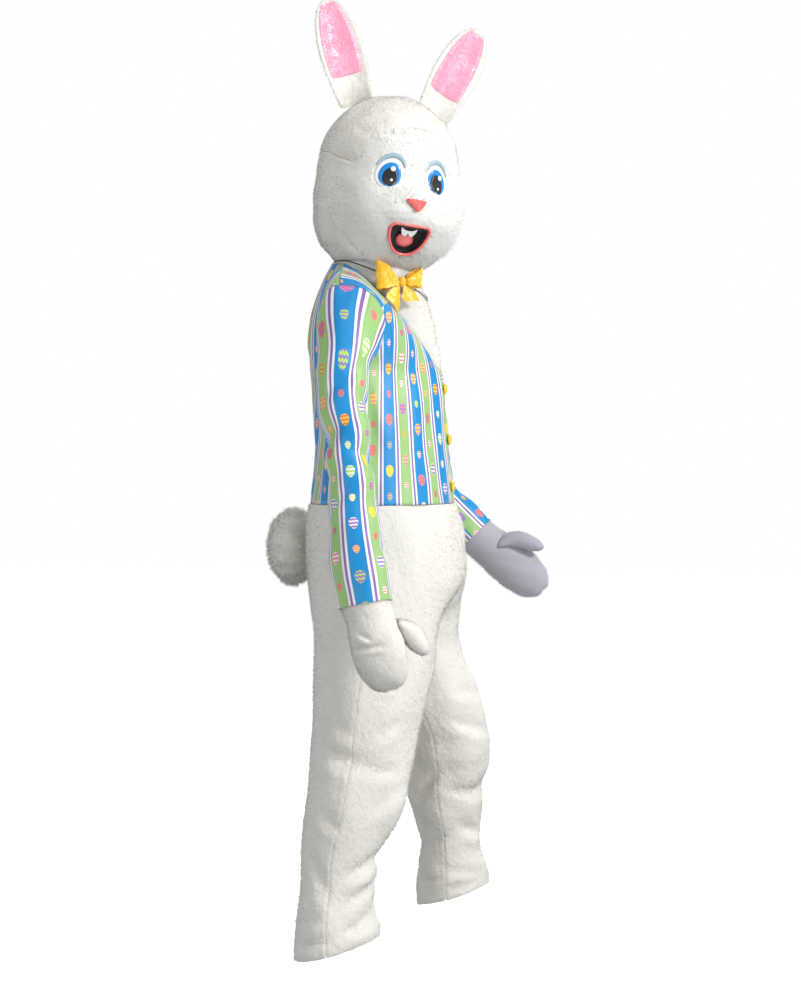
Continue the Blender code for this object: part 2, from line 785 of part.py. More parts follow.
def mitten_centre(hand, t):
    along, palm, thumb_side = hand_frame(hand)
    bend = hand.curl * (4 * t * (1 - t) * -0.35 + t * t * 0.5)
    return hand.wrist.lerp(hand.tip, t) + palm * bend


def mitten_point(hand, palm_way):
    """u from the little-finger edge to the thumb edge, v from the wrist to the tip."""
    along, palm, thumb_side = hand_frame(hand)
    ring, centre, cuff_along, body, front = sleeve_frame(hand.sleeve, hand.side, WRIST_PLACE)

    def surface(u, v):
        row = MITTEN.at(v)
        turn = math.pi * u
        hand_point = (
            mitten_centre(hand, v)
            - thumb_side * row.half_width * math.cos(turn)
            + palm * palm_way * row.half_depth * math.sin(turn)
        )
        wrist_point = (
            centre
            - front * (ring.half_front - WRIST_INSET) * math.cos(turn)
            + body * palm_way * (ring.half_in - WRIST_INSET) * math.sin(turn)
        )
        return wrist_point.lerp(hand_point, ease(0.0, WRIST_BLEND, v))

    return surface


def inward_to(centre_of, count=24):
    """Toward the nearest of the centres along a path."""
    centres = [centre_of(t) for t in steps(count)]

    def inward(point):
        aim = min(centres, key=lambda c: (c - point).length)
        return (aim - point).normalized()

    return inward


def thumb_surface(hand):
    along, palm, thumb_side = hand_frame(hand)
    axis = (hand.thumb_tip - hand.thumb_root).normalized()
    flat = (palm - axis * palm.dot(axis)).normalized()
    wide = axis.cross(flat)

    def surface(u, v):
        row = THUMB.at(v)
        turn = 2 * math.pi * u
        point = (
            hand.thumb_root.lerp(hand.thumb_tip, v)
            + wide * row.half_width * math.cos(turn)
            + flat * row.half_depth * math.sin(turn)
        )
        return point

    return surface


def clear_of_mitten(hand, surface, margin):
    """The thumb's root follows the mitten's edge and stays a seam away from it."""
    along, palm, thumb_side = hand_frame(hand)
    length = (hand.tip - hand.wrist).length

    def seated(u, v):
        point = surface(u, v)
        t = min(max((point - hand.wrist).dot(along) / length, 0.0), 0.99)
        row = MITTEN.at(t)
        centre = mitten_centre(hand, t)
        flat = (point - centre).dot(palm)
        side = (point - centre).dot(thumb_side)
        round_part = max(1 - (flat / row.half_depth) ** 2, 0.0)
        edge = row.half_width * math.sqrt(round_part) + margin
        if v < 0.01 or side < edge:
            point = point + thumb_side * (edge - side)
        return point

    return seated


def make_mittens(collection):
    columns = steps(MITTEN_COLUMNS)
    rows = steps(MITTEN_ROWS, 0.0, 0.80) + [0.88, 0.94, 0.97, 0.99]
    thumb_rows = [0.0, 0.25, 0.50, 0.75, 0.90, 0.97]
    for hand in (RIGHT_HAND, LEFT_HAND):
        inward = inward_to(lambda t, hand=hand: mitten_centre(hand, min(t, 0.93)))
        for part, way, cloth, thickness in (
                ("back", -1, "plush_white", PLUSH), ("palm", 1, "knit_grey", KNIT)):
            wall("mitten_%s_%s" % (part, hand.letter), mitten_point(hand, way), inward,
                 columns, rows, thickness, cloth, collection)
        thumb_inward = inward_to(
            lambda t, hand=hand: hand.thumb_root.lerp(hand.thumb_tip, min(t, 0.85)))
        cloth = "plush_white" if hand is RIGHT_HAND else "knit_grey"
        seated = clear_of_mitten(hand, thumb_surface(hand), 0.0049)
        tip = hand.thumb_tip + (hand.thumb_tip - hand.thumb_root).normalized() * 0.001
        wall("mitten_thumb_" + hand.letter, seated, thumb_inward, steps(12), thumb_rows,
             0.002, cloth, collection, ring=True, tip=tip)


# Mask: long-furred face, short plush back and a cap over the crown, in the mask's own frame
HEAD = Table(
    "z half_width half_depth",
    (0.000, 0.0900, 0.0900),
    (0.014, 0.1080, 0.1090),
    (0.040, 0.1300, 0.1300),
    (0.080, 0.1430, 0.1430),
    (0.130, 0.1490, 0.1480),
    (0.200, 0.1460, 0.1460),
)
# Bumps of the face: place (x, z), half size (x, z) and height
FACE_BUMPS = (
    (0.000, 0.096, 0.060, 0.036, 0.030),
    (0.085, 0.078, 0.045, 0.048, 0.018),
    (-0.085, 0.078, 0.045, 0.048, 0.018),
    (0.000, 0.028, 0.045, 0.022, 0.009),
    (0.000, 0.218, 0.080, 0.030, 0.006),
    (0.052, 0.166, 0.034, 0.034, -0.006),
    (-0.052, 0.166, 0.034, 0.034, -0.006),
)
# The cap's lower edge: degrees from the face's middle, height
CAP_EDGE = Table(
    "turn z",
    (0, 0.257), (20, 0.250), (35, 0.224), (48, 0.186), (62, 0.195),
    (94, 0.216), (140, 0.224), (180, 0.226),
)
# The seam between the face and the back: height, degrees from the face's middle
FACE_SEAM = Table(
    "z turn",
    (0.000, 30), (0.030, 47), (0.070, 61), (0.115, 67), (0.155, 62), (0.186, 48),
)
CORNER = 48.0
FACE_COLUMNS = 14
FACE_ROWS = 12
BACK_COLUMNS = 12
CAP_RISE = 0.0022


def face_bump(x, z):
    total = 0.0
    for place_x, place_z, size_x, size_z, height in FACE_BUMPS:
        total += height * math.exp(-((x - place_x) / size_x) ** 2 - ((z - place_z) / size_z) ** 2)
    return total * ease(0.0, 0.022, z)


def head_ring(z):
    """Half width and half depth of the head at that height."""
    if z <= DOME_Z:
        row = HEAD.at(z)
        return row.half_width, row.half_depth
    rise = min((z - DOME_Z) / DOME_HEIGHT, 1.0)
    radius = DOME_RADIUS * math.sqrt(1 - rise * rise)
    return radius, radius


def head_point(degrees, z, out=0.0):
    """A point of the head's surface; 0 degrees is the middle of the face."""
    turn = math.radians(degrees)
    half_width, half_depth = head_ring(z)
    x = half_width * math.sin(turn)
    y = -half_depth * math.cos(turn)
    y -= face_bump(x, z) * ease(-0.05, 0.45, math.cos(turn))
    point = Vector((x, y, z))
    if out:
        point -= head_inward_local(point) * out
    return point


def head_inward_local(point):
    aim = Vector((0.0, 0.0, min(point.z, DOME_Z)))
    return (aim - point).normalized()


def on_face(x, z, out=0.0):
    """The face's surface at that place in a front view, moved out along -Y."""
    half_width, half_depth = head_ring(z)
    y = -half_depth * math.sqrt(max(1 - (x / half_width) ** 2, 0.0))
    lean = ease(-0.05, 0.45, -y / half_depth)
    return Vector((x, y - face_bump(x, z) * lean - out, z))


def face_surface(u, v):
    """u from -1 to 1 across the face, v from the chin to the cap's edge."""
    top = CAP_EDGE.at(abs(u) * CORNER).z
    z = v * top
    seam = FACE_SEAM.at(v * CAP_EDGE.at(CORNER).z).turn
    return head_point(u * seam, z)


def back_surface(u, v):
    """u from 0 to 1 round the back, from the left seam to the right one."""
    along = CORNER + (360 - 2 * CORNER) * u
    top = CAP_EDGE.at(min(along, 360 - along)).z
    z = v * top
    seam = FACE_SEAM.at(v * CAP_EDGE.at(CORNER).z).turn
    return head_point(seam + (360 - 2 * seam) * u, z)


def cap_surface(u, v):
    """u in degrees round the head, v from the cap's lower edge to the crown."""
    degrees = u % 360
    low = CAP_EDGE.at(min(degrees, 360 - degrees)).z
    start = math.asin((low - DOME_Z) / DOME_HEIGHT)
    rise = start + (math.pi / 2 - start) * v
    lift = CAP_RISE * ease(0.0, 0.10, v)
    return head_point(degrees, DOME_Z + DOME_HEIGHT * math.sin(rise), lift)


def in_mask(function):
    matrix = mask_matrix()
    return lambda u, v: matrix @ function(u, v)


def mask_inward(point):
    matrix = mask_matrix()
    local = matrix.inverted() @ point
    return (matrix.to_3x3() @ head_inward_local(local)).normalized()


# The mouth's opening in a front view: centre height, half width, heights above and below
MOUTH_Z = 0.059
MOUTH_HALF_WIDTH = 0.041
MOUTH_UP = 0.018
MOUTH_DOWN = 0.042
MOUTH_TAPER = 0.22
MOUTH_SIDES = 20
LIP_RADIUS = 0.0030


def mouth_outline(shrink=0.0):
    """Points (x, z) of the open mouth: a shallow upper edge and a deep round lower one."""
    points = []
    for i in range(MOUTH_SIDES):
        turn = 2 * math.pi * i / MOUTH_SIDES
        sine = math.sin(turn)
        cosine = math.cos(turn)
        width = MOUTH_HALF_WIDTH - shrink
        height = (MOUTH_UP if sine > 0 else MOUTH_DOWN) - shrink
        x = width * math.copysign(abs(cosine) ** 0.8, cosine)
        sag = 0.010 * (1 - (x / width) ** 2) if sine > 0 else 0.0
        if sine < 0:
            x *= 1 - MOUTH_TAPER * abs(sine)
        points.append((x, MOUTH_Z + height * math.copysign(abs(sine) ** 0.8, sine) - sag))
    return points


def cut(target, cutter):
    modifier = target.modifiers.new("opening", "BOOLEAN")
    modifier.operation = "DIFFERENCE"
    modifier.object = cutter


def make_mouth_cutter(cutters):
    """A prism through the face along the mouth's outline."""
    matrix = mask_matrix()
    bm = bmesh.new()
    near = [bm.verts.new(matrix @ Vector((x, -0.220, z))) for x, z in mouth_outline(-0.0010)]
    far = [bm.verts.new(matrix @ Vector((x, -0.060, z))) for x, z in mouth_outline(-0.0010)]
    count = len(near)
    for i in range(count):
        j = (i + 1) % count
        bm.faces.new((near[i], near[j], far[j], far[i]))
    bm.faces.new(near)
    bm.faces.new(far)
    made = finish("mouth_cutter", bm, "black", cutters)
    made.hide_render = True
    made.display_type = "WIRE"
    return made


def patch_on_face(name, points, depth, out, material_name, collection, rings=2, dome=0.0):
    """A closed plate that follows the face: outline points (x, z), its depth, height above the fur."""
    matrix = mask_matrix()
    bm = bmesh.new()
    count = len(points)
    middle_x = sum(x for x, z in points) / count
    middle_z = sum(z for x, z in points) / count
    layers = []
    for top in (True, False):
        loops = []
        for ring in range(rings):
            scale = 1 - ring / rings
            rise = dome * (1 - scale * scale) if top else 0.0
            loop = []
            for x, z in points:
                at_x = middle_x + (x - middle_x) * scale
                at_z = middle_z + (z - middle_z) * scale
                place = on_face(at_x, at_z, out + (depth if top else 0.0) + rise)
                loop.append(bm.verts.new(matrix @ place))
            loops.append(loop)
        rise = dome if top else 0.0
        centre = bm.verts.new(
            matrix @ on_face(middle_x, middle_z, out + (depth if top else 0.0) + rise))
        for low, high in zip(loops, loops[1:]):
            for i in range(count):
                j = (i + 1) % count
                bm.faces.new((low[i], low[j], high[j], high[i]))
        for i in range(count):
            bm.faces.new((loops[-1][i], loops[-1][(i + 1) % count], centre))
        layers.append(loops[0])
    for i in range(count):
        j = (i + 1) % count
        bm.faces.new((layers[0][i], layers[0][j], layers[1][j], layers[1][i]))
    return finish(name, bm, material_name, collection)


def ellipse(centre_x, centre_z, half_width, half_height, sides, lean=0.0, low=1.0):
    """Outline points of an upright oval; low shortens its lower half."""
    points = []
    for i in range(sides):
        turn = 2 * math.pi * i / sides
        height = half_height * (low if math.sin(turn) < 0 else 1.0)
        z = height * math.sin(turn)
        points.append((centre_x + half_width * math.cos(turn) + lean * z, centre_z + z))
    return points


# Eyes, nose and mouth, as plates that follow the face
EYE_X = 0.0500
EYE_Z = 0.1640
EYE_LEAN = -0.10
EYE_OUT = 0.0014
PLATE = 0.0010
STEP_OUT = 0.0014
NOSE_HALF_WIDTH = 0.0250
NOSE_TOP = 0.121
NOSE_TIP = 0.091
BOWL = (
    (0.0010, 1.00, 0.001), (0.0016, 0.99, 0.010), (0.0022, 0.93, 0.019), (0.0030, 0.70, 0.021),
    (0.0030, 0.35, 0.021),
)


def lid_surface(side):
    def surface(u, v):
        turn = math.radians(28 + 124 * u)
        grow = 0.0016 + v * (0.0030 + 0.0065 * math.sin(math.pi * u))
        z = EYE_Z + (0.0340 + grow) * math.sin(turn)
        x = side * (EYE_X - (0.0270 + grow) * math.cos(turn) + EYE_LEAN * (z - EYE_Z))
        return on_face(x, z, EYE_OUT + PLATE)

    return surface


def make_eyes(collection):
    facing = mask_matrix().to_3x3() @ Vector((0.0, 1.0, 0.0))
    for letter, side in (("r", -1), ("l", 1)):
        x = side * EYE_X
        lean = side * EYE_LEAN
        layers = (
            ("eye_white_", ellipse(x, EYE_Z, 0.0270, 0.0340, 20, lean, 0.80), "eye_white"),
            ("eye_iris_", ellipse(x, EYE_Z - 0.001, 0.0215, 0.0270, 18, lean, 0.86), "eye_blue"),
            ("eye_pupil_", ellipse(x, EYE_Z - 0.005, 0.0145, 0.0205, 16, lean, 0.86), "black"),
        )
        for number, (name, outline, cloth) in enumerate(layers):
            patch_on_face(name + letter, outline, PLATE, EYE_OUT + number * STEP_OUT,
                          cloth, collection)
        wall("eye_lid_" + letter, in_mask(lid_surface(side)), lambda point: facing,
             steps(9), steps(1), PLATE, "lid_grey", collection)


def make_nose(collection):
    outline = []
    corners = (
        (NOSE_HALF_WIDTH, NOSE_TOP), (-NOSE_HALF_WIDTH, NOSE_TOP), (0.0, NOSE_TIP))
    for number, (x, z) in enumerate(corners):
        before = Vector(corners[number - 1])
        here = Vector((x, z))
        after = Vector(corners[(number + 1) % 3])
        start = here.lerp(before, 0.22)
        end = here.lerp(after, 0.22)
        for k in steps(3):
            point = start.lerp(here, k).lerp(here.lerp(end, k), k)
            outline.append((point.x, point.y))
    patch_on_face("nose", outline, 0.0050, EYE_OUT, "coral", collection, rings=3, dome=0.004)


def bowl_ring(shrink, scale, depth):
    matrix = mask_matrix()
    ring = []
    for x, z in mouth_outline(shrink):
        at_x = x * scale
        at_z = MOUTH_Z - 0.010 + (z - MOUTH_Z + 0.010) * scale
        ring.append(matrix @ on_face(at_x, at_z, -depth))
    return ring


def make_mouth(collection):
    bm = bmesh.new()
    layers = []
    for extra_shrink, extra_depth in ((MOULDED, 0.0), (0.0, MOULDED)):
        loops = []
        for number, (shrink, scale, depth) in enumerate(BOWL):
            ring = bowl_ring(shrink + extra_shrink, scale, depth + (extra_depth if number else 0.0))
            loops.append([bm.verts.new(point) for point in ring])
        last_depth = BOWL[-1][2] + extra_depth
        centre = bm.verts.new(mask_matrix() @ on_face(0.0, MOUTH_Z - 0.010, -last_depth))
        layers.append(loops)
        for low, high in zip(loops, loops[1:]):
            for i in range(MOUTH_SIDES):
                j = (i + 1) % MOUTH_SIDES
                bm.faces.new((low[i], low[j], high[j], high[i]))
        for i in range(MOUTH_SIDES):
            bm.faces.new((loops[-1][i], loops[-1][(i + 1) % MOUTH_SIDES], centre))
    for i in range(MOUTH_SIDES):
        j = (i + 1) % MOUTH_SIDES
        bm.faces.new((layers[0][0][i], layers[0][0][j], layers[1][0][j], layers[1][0][i]))
    finish("mouth_lining", bm, "black", collection)

    tongue = ellipse(0.0, MOUTH_Z - 0.014, 0.0190, 0.0140, 18)
    patch_on_face("mouth_tongue", tongue, 0.0045, -0.0196, "coral", collection, dome=0.003)

    top = MOUTH_Z + MOUTH_UP - 0.0165
    wall("mouth_teeth", teeth_surface(top), teeth_inward, steps(12, -1.0, 1.0), steps(2),
         0.0022, "eye_white", collection)

    lip = [on_face(x, z, LIP_RADIUS + 3 * LAID) for x, z in mouth_outline(-0.0018)]
    make_tube("mouth_lip", [mask_matrix() @ point for point in lip], LIP_RADIUS, "coral",
              collection, cyclic=True)


def teeth_surface(top):
    matrix = mask_matrix()

    def surface(u, v):
        x = 0.0165 * u
        notch = abs(math.sin(math.pi * u)) ** 0.5
        z = top + 18.0 * x * x - v * (0.0040 + 0.0080 * notch)
        return matrix @ on_face(x, z, -0.0050)

    return surface


def teeth_inward(point):
    return mask_matrix().to_3x3() @ Vector((0.0, 1.0, 0.0))


def make_tube(name, points, radius, material_name, collection, cyclic=False):
    """A round tube along a line of points."""
    curve = bpy.data.curves.new(name, "CURVE")
    curve.dimensions = "3D"
    curve.bevel_depth = radius
    curve.bevel_resolution = 1
    curve.use_fill_caps = not cyclic
    spline = curve.splines.new("POLY")
    spline.points.add(len(points) - 1)
    for place, point in zip(spline.points, points):
        place.co = (*point, 1.0)
    spline.use_cyclic_u = cyclic
    curve.materials.append(material(material_name))
    made = bpy.data.objects.new(name, curve)
    collection.objects.link(made)
    return made


def make_mask(collection, cutters):
    face_us = steps(FACE_COLUMNS, -1.0, 1.0)
    back_us = steps(BACK_COLUMNS)
    face = wall("mask_face", in_mask(face_surface), mask_inward, face_us, steps(FACE_ROWS),
                PLUSH, "fur_white", collection, pulls=(SEAM,) * 4)
    cut(face, make_mouth_cutter(cutters))
    wall("mask_back", in_mask(back_surface), mask_inward, back_us, steps(FACE_ROWS),
         PLUSH, "plush_white", collection, pulls=(3 * SEAM, 3 * SEAM, SEAM, SEAM))
    around = [u * CORNER for u in face_us]
    around += [CORNER + (360 - 2 * CORNER) * u for u in back_us[1:]]
    crown = mask_matrix() @ Vector((0.0, 0.0, DOME_Z + DOME_HEIGHT + CAP_RISE))
    wall("mask_cap", in_mask(cap_surface), mask_inward, around, [0.0, 0.06, 0.25, 0.45, 0.65, 0.85],
         PLUSH, "plush_white", collection, ring=True, tip=crown)
    make_eyes(collection)
    make_nose(collection)
    make_mouth(collection)


# Ears: a plush back with a satin lining laid in its hollow
EAR = Table(
    "t half_width cup",
    (0.00, 0.0350, 0.030),
    (0.12, 0.0400, 0.026),
    (0.30, 0.0460, 0.021),
    (0.50, 0.0490, 0.017),
    (0.70, 0.0450, 0.014),
    (0.86, 0.0345, 0.010),
    (0.95, 0.0220, 0.006),
    (1.00, 0.0070, 0.002),
)
EAR_LENGTH = 0.216
EAR_X = 0.083
EAR_SEAT = 0.0001
EAR_LEAN = math.radians(24)
EAR_ROWS = (0.0, 0.12, 0.28, 0.40, 0.55, 0.70, 0.82, 0.91, 0.96, 1.0)
EAR_COLUMNS = (-1.0, -0.78, -0.40, 0.0, 0.40, 0.78, 1.0)


def ear_surface(side, out=0.0):
    matrix = mask_matrix()
    base = Vector((side * EAR_X, 0.004, DOME_Z + math.sqrt(DOME_RADIUS ** 2 - EAR_X ** 2)))
    axis = Vector((side * math.sin(EAR_LEAN), 0.0, math.cos(EAR_LEAN)))
    wide = Vector((math.cos(EAR_LEAN), 0.0, -side * math.sin(EAR_LEAN)))
    crown = Vector((0.0, 0.0, DOME_Z))

    def surface(u, v):
        row = EAR.at(v)
        point = (
            base + axis * EAR_LENGTH * v + wide * row.half_width * u
            + Vector((0.0, 1.0, 0.0)) * row.cup * (1 - u * u)
        )
        reach = (point - crown).length
        least = DOME_RADIUS + CAP_RISE + EAR_SEAT
        if reach < least or v == 0.0:
            point = crown + (point - crown) * least / reach
        return matrix @ (point - Vector((0.0, out, 0.0)))

    return surface


def make_ears(collection):
    forward = mask_matrix().to_3x3() @ Vector((0.0, -1.0, 0.0))
    for letter, side in (("r", -1), ("l", 1)):
        wall("ear_back_" + letter, ear_surface(side), lambda point: forward,
             EAR_COLUMNS, EAR_ROWS, PLUSH, "plush_white", collection)
        wall("ear_lining_" + letter, ear_surface(side, PLUSH + LAID), lambda point: forward,
             EAR_COLUMNS[1:-1], EAR_ROWS[2:-1], SATIN, "satin_pink", collection)


# Bow tie on its neck elastic
BOW_CENTRE = Vector((-0.0880, -0.0830, -0.0120))
BOW_AXIS = Vector((0.72, -0.69, 0.0)).normalized()
BOW_SWEEP = math.radians(14)
BOW_UP = Vector((0.0, 0.0, 1.0))
BOW_REACH = 0.057
BOW_LOOP = Table(
    "s half_height half_depth",
    (0.00, 0.0060, 0.0030),
    (0.25, 0.0140, 0.0085),
    (0.60, 0.0240, 0.0120),
    (0.90, 0.0280, 0.0080),
    (1.00, 0.0285, 0.0015),
)
FAR_LOOP = 0.72
LOOP_LIFT = 0.013
KNOT_HALF = (0.0080, 0.0075, 0.0105)
KNOT_CLEAR = 0.0083
ELASTIC_RADIUS = 0.0012
ELASTIC_OUT = 0.0011
ELASTIC_ROW = 0.50
ELASTIC_POINTS = 30
ELASTIC_NEAR_BOW = (-0.022, -0.011, 0.0, 0.011, 0.022)
KNOT_RISE = 0.004


def bow_frame():
    axis = BOW_AXIS
    up = (BOW_UP - axis * BOW_UP.dot(axis)).normalized()
    front = up.cross(axis) * -1
    if front.y > 0:
        front = -front
    return axis, up, front


def loop_surface(side):
    """u runs round the folded band, v up its height."""
    axis, up, front = bow_frame()
    out = axis * side * math.cos(BOW_SWEEP) - front * math.sin(BOW_SWEEP)
    face = front * math.cos(BOW_SWEEP) + axis * side * math.sin(BOW_SWEEP)
    size = FAR_LOOP if side > 0 else 1.0

    def surface(u, v):
        turn = 2 * math.pi * u
        s = (1 - math.cos(turn)) / 2
        row = BOW_LOOP.at(s)
        depth = row.half_depth * (1 if math.sin(turn) >= 0 else -1)
        depth *= min(1.0, abs(math.sin(turn)) * 3)
        wave = 0.0022 * math.cos(2.5 * math.pi * v) * (1 - s)
        height = v * row.half_height * size
        return (
            BOW_CENTRE + out * (KNOT_CLEAR + s * (BOW_REACH - KNOT_CLEAR))
            + face * (depth + wave)
            + up * (height + s * LOOP_LIFT)
        )

    return surface


def loop_inward(side):
    axis, up, front = bow_frame()

    out = axis * side * math.cos(BOW_SWEEP) - front * math.sin(BOW_SWEEP)

    def inward(point):
        local = point - BOW_CENTRE
        middle = min(max(local.dot(out), KNOT_CLEAR + 0.004), BOW_REACH - 0.006)
        aim = BOW_CENTRE + out * middle + up * local.dot(up)
        return (aim - point).normalized()

    return inward


def tail_surface(side):
    """A pointed bow tail that hangs down and out from the knot."""
    axis, up, front = bow_frame()
    along = (axis * side * 0.42 - up * 0.90).normalized()
    across = (axis * side * 0.90 + up * 0.42).normalized()

    def surface(u, v):
        half = 0.0050 + 0.0135 * ease(0.0, 0.75, v)
        length = 0.0077 + (0.0440 if side < 0 else 0.0340) * v + 0.0070 * u * side * v
        curve = 0.0030 * math.cos(math.pi * u) * v
        return (
            BOW_CENTRE + axis * side * 0.0045 + along * length + across * half * u
            - front * 0.0030 + front * (0.0060 * v + curve)
        )

    return surface


def make_bow(collection):
    axis, up, front = bow_frame()
    for letter, side in (("r", -1), ("l", 1)):
        wall("bow_loop_" + letter, loop_surface(side), loop_inward(side), steps(16),
             steps(4, -1.0, 1.0), SATIN, "satin_yellow", collection, ring=True)
        wall("bow_tail_" + letter, tail_surface(side), lambda point: -front,
             steps(6, -1.0, 1.0), steps(5), SATIN, "satin_yellow", collection)
    bm = bmesh.new()
    bmesh.ops.create_uvsphere(bm, u_segments=14, v_segments=10, radius=1.0)
    for vert in bm.verts:
        unit = vert.co.copy()
        groove = 1 - 0.10 * math.cos(5 * math.atan2(unit.y, unit.x)) ** 2 * (1 - unit.z ** 2)
        vert.co = (
            BOW_CENTRE + axis * unit.x * KNOT_HALF[0] * groove
            + front * unit.y * KNOT_HALF[1] * groove + up * unit.z * KNOT_HALF[2]
        )
    finish("bow_knot", bm, "satin_yellow", collection)

    make_tube("bow_elastic", elastic_line(), ELASTIC_RADIUS, "black", collection, cyclic=True)


def elastic_line():
    """Round the neck on the inset, low behind the bow and out to the back of its knot."""
    axis, up, front = bow_frame()
    knot_back = BOW_CENTRE - front * (KNOT_HALF[1] + ELASTIC_RADIUS + LAID) + up * KNOT_RISE
    bow_u = min(steps(200, 0.0, 0.5), key=lambda u: (inset_point(u, 0.5) - knot_back).length)
    bow_row = min(
        steps(60, 0.10, 0.74), key=lambda v: abs(inset_point(bow_u, v).z - knot_back.z))
    places = steps(ELASTIC_POINTS)[:-1] + [bow_u + d for d in ELASTIC_NEAR_BOW]
    line = []
    for u in sorted(places):
        near = math.exp(-((u - bow_u) / 0.07) ** 2)
        row = ELASTIC_ROW + (bow_row - ELASTIC_ROW) * near
        normal = outward_normal(inset_point, inset_inward, u, row)
        point = inset_point(u, row) + normal * (ELASTIC_RADIUS + ELASTIC_OUT)
        beside = (point - knot_back).dot(axis)
        reach = (knot_back - point).dot(front) * math.exp(-(beside / KNOT_HALF[0]) ** 2)
        line.append(point + front * reach if u < 0.5 else point)
    return line


def main():
    clear_scene()
    collection = make_collection("easter_bunny_costume")
    cutters = make_collection("cutters")
    make_bodice(collection)
    make_inset(collection)
    make_sleeves(collection)
    make_trousers(collection)
    make_tail(collection)
    make_buttons(collection)
    make_mittens(collection)
    make_mask(collection, cutters)
    make_ears(collection)
    make_bow(collection)


main()
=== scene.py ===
"""Easter bunny costume: cloth, fur and mouldings dressed over the frame.

Metres, +Z up. The costume faces -Y, the wearer's right hand is at -X and the origin is the base of the
neck. Satin panels are sheets shaped by their cut; plush pieces are the frame's own walls made soft, with
creases, and pile on them.
"""
import math
from types import SimpleNamespace

import bmesh
import bpy
import numpy as np
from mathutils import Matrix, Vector
from mathutils.kdtree import KDTree


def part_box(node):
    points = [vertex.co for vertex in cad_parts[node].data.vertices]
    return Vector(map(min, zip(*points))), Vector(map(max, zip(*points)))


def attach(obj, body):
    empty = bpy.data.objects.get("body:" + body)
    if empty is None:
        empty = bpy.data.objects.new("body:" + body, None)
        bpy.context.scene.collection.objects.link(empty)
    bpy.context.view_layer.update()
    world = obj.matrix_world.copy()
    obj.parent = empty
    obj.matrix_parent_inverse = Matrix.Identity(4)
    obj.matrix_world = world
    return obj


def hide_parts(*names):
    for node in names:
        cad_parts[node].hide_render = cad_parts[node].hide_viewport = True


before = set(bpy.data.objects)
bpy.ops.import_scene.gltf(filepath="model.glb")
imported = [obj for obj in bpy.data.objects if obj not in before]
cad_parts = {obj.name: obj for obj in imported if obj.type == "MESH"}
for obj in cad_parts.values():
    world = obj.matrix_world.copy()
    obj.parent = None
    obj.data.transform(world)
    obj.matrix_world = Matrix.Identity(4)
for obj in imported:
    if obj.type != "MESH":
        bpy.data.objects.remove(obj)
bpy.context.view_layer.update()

# Cloth
SATIN = 0.0012
WAIST_Z = -0.455

# Camera: the wearer's right side, a little from the front
CAMERA_TURN = math.radians(78)
CAMERA_AWAY = 3.5
CAMERA_ASIDE = 0.0584
CAMERA_Z = -0.355
IMAGE_HEIGHT = 1001
FOCAL_PIXELS = 1707
HORIZON_ABOVE_MIDDLE = 46.5
SENSOR_MM = 36
FLOOR_Z = -1.402


class Table:
    """Rows of named columns. at(t) reads every column smoothly along the first one."""

    def __init__(self, names, *rows):
        self.names = names.split()
        self.rows = sorted(rows)

    def slope(self, i, c):
        low = self.rows[max(i - 1, 0)]
        high = self.rows[min(i + 1, len(self.rows) - 1)]
        return (high[c] - low[c]) / (high[0] - low[0])

    def at(self, t):
        rows = self.rows
        t = min(max(t, rows[0][0]), rows[-1][0])
        i = 0
        while i < len(rows) - 2 and rows[i + 1][0] <= t:
            i += 1
        step = rows[i + 1][0] - rows[i][0]
        k = (t - rows[i][0]) / step
        values = []
        for c in range(len(self.names)):
            start = rows[i][c]
            end = rows[i + 1][c]
            rise = self.slope(i, c) * step
            fall = self.slope(i + 1, c) * step
            values.append(
                start * (1 + 2 * k) * (1 - k) ** 2 + rise * k * (1 - k) ** 2
                + end * k * k * (3 - 2 * k) - fall * k * k * (1 - k)
            )
        return SimpleNamespace(**dict(zip(self.names, values)))


class Curve:
    """A smooth line through points (x, y, z), read from 0 to 1 along its length."""

    def __init__(self, *points):
        self.points = [Vector(p) for p in points]
        lengths = [0.0]
        for a, b in zip(self.points, self.points[1:]):
            lengths.append(lengths[-1] + (b - a).length)
        rows = [(s / lengths[-1], *p) for s, p in zip(lengths, self.points)]
        self.table = Table("t x y z", *rows)

    def at(self, t):
        row = self.table.at(t)
        return Vector((row.x, row.y, row.z))


def ease(low, high, value):
    """0 below low, 1 above high and a smooth step between them."""
    k = min(max((value - low) / (high - low), 0.0), 1.0)
    return k * k * (3 - 2 * k)


def steps(count, low=0.0, high=1.0):
    """Evenly spaced values from low to high."""
    return [low + (high - low) * i / count for i in range(count + 1)]


def mirrored(point):
    return Vector((-point.x, point.y, point.z))


HIP = Table(
    "z half_width half_depth centre_y",
    (-0.455, 0.200, 0.145, -0.024),
    (-0.475, 0.213, 0.153, -0.027),
    (-0.510, 0.222, 0.157, -0.029),
    (-0.572, 0.233, 0.160, -0.030),
    (-0.654, 0.244, 0.163, -0.034),
    (-0.770, 0.250, 0.160, -0.035),
)
CENTRE_FRONT = Curve(
    (0.0, -0.169, -0.455), (0.0, -0.165, -0.420), (0.0, -0.158, -0.325),
    (0.0, -0.150, -0.235), (0.0, -0.145, -0.190),
)
V_EDGE = Curve(
    (0.0, -0.145, -0.190), (-0.038, -0.109, -0.128), (-0.062, -0.068, -0.072),
    (-0.076, -0.036, -0.036), (-0.085, 0.002, 0.006), (-0.085, 0.038, 0.028),
)
CENTRE_BACK = Curve(
    (0.0, 0.121, -0.455), (0.0, 0.115, -0.355), (0.0, 0.121, -0.270),
    (0.0, 0.129, -0.190),
)
UPPER_BACK = Curve(
    (0.0, 0.129, -0.190), (0.0, 0.132, -0.130), (0.0, 0.122, -0.065), (0.0, 0.085, 0.030),
)
BACK_NECK = Curve((0.0, 0.085, 0.030), (-0.045, 0.073, 0.031), (-0.085, 0.038, 0.028))
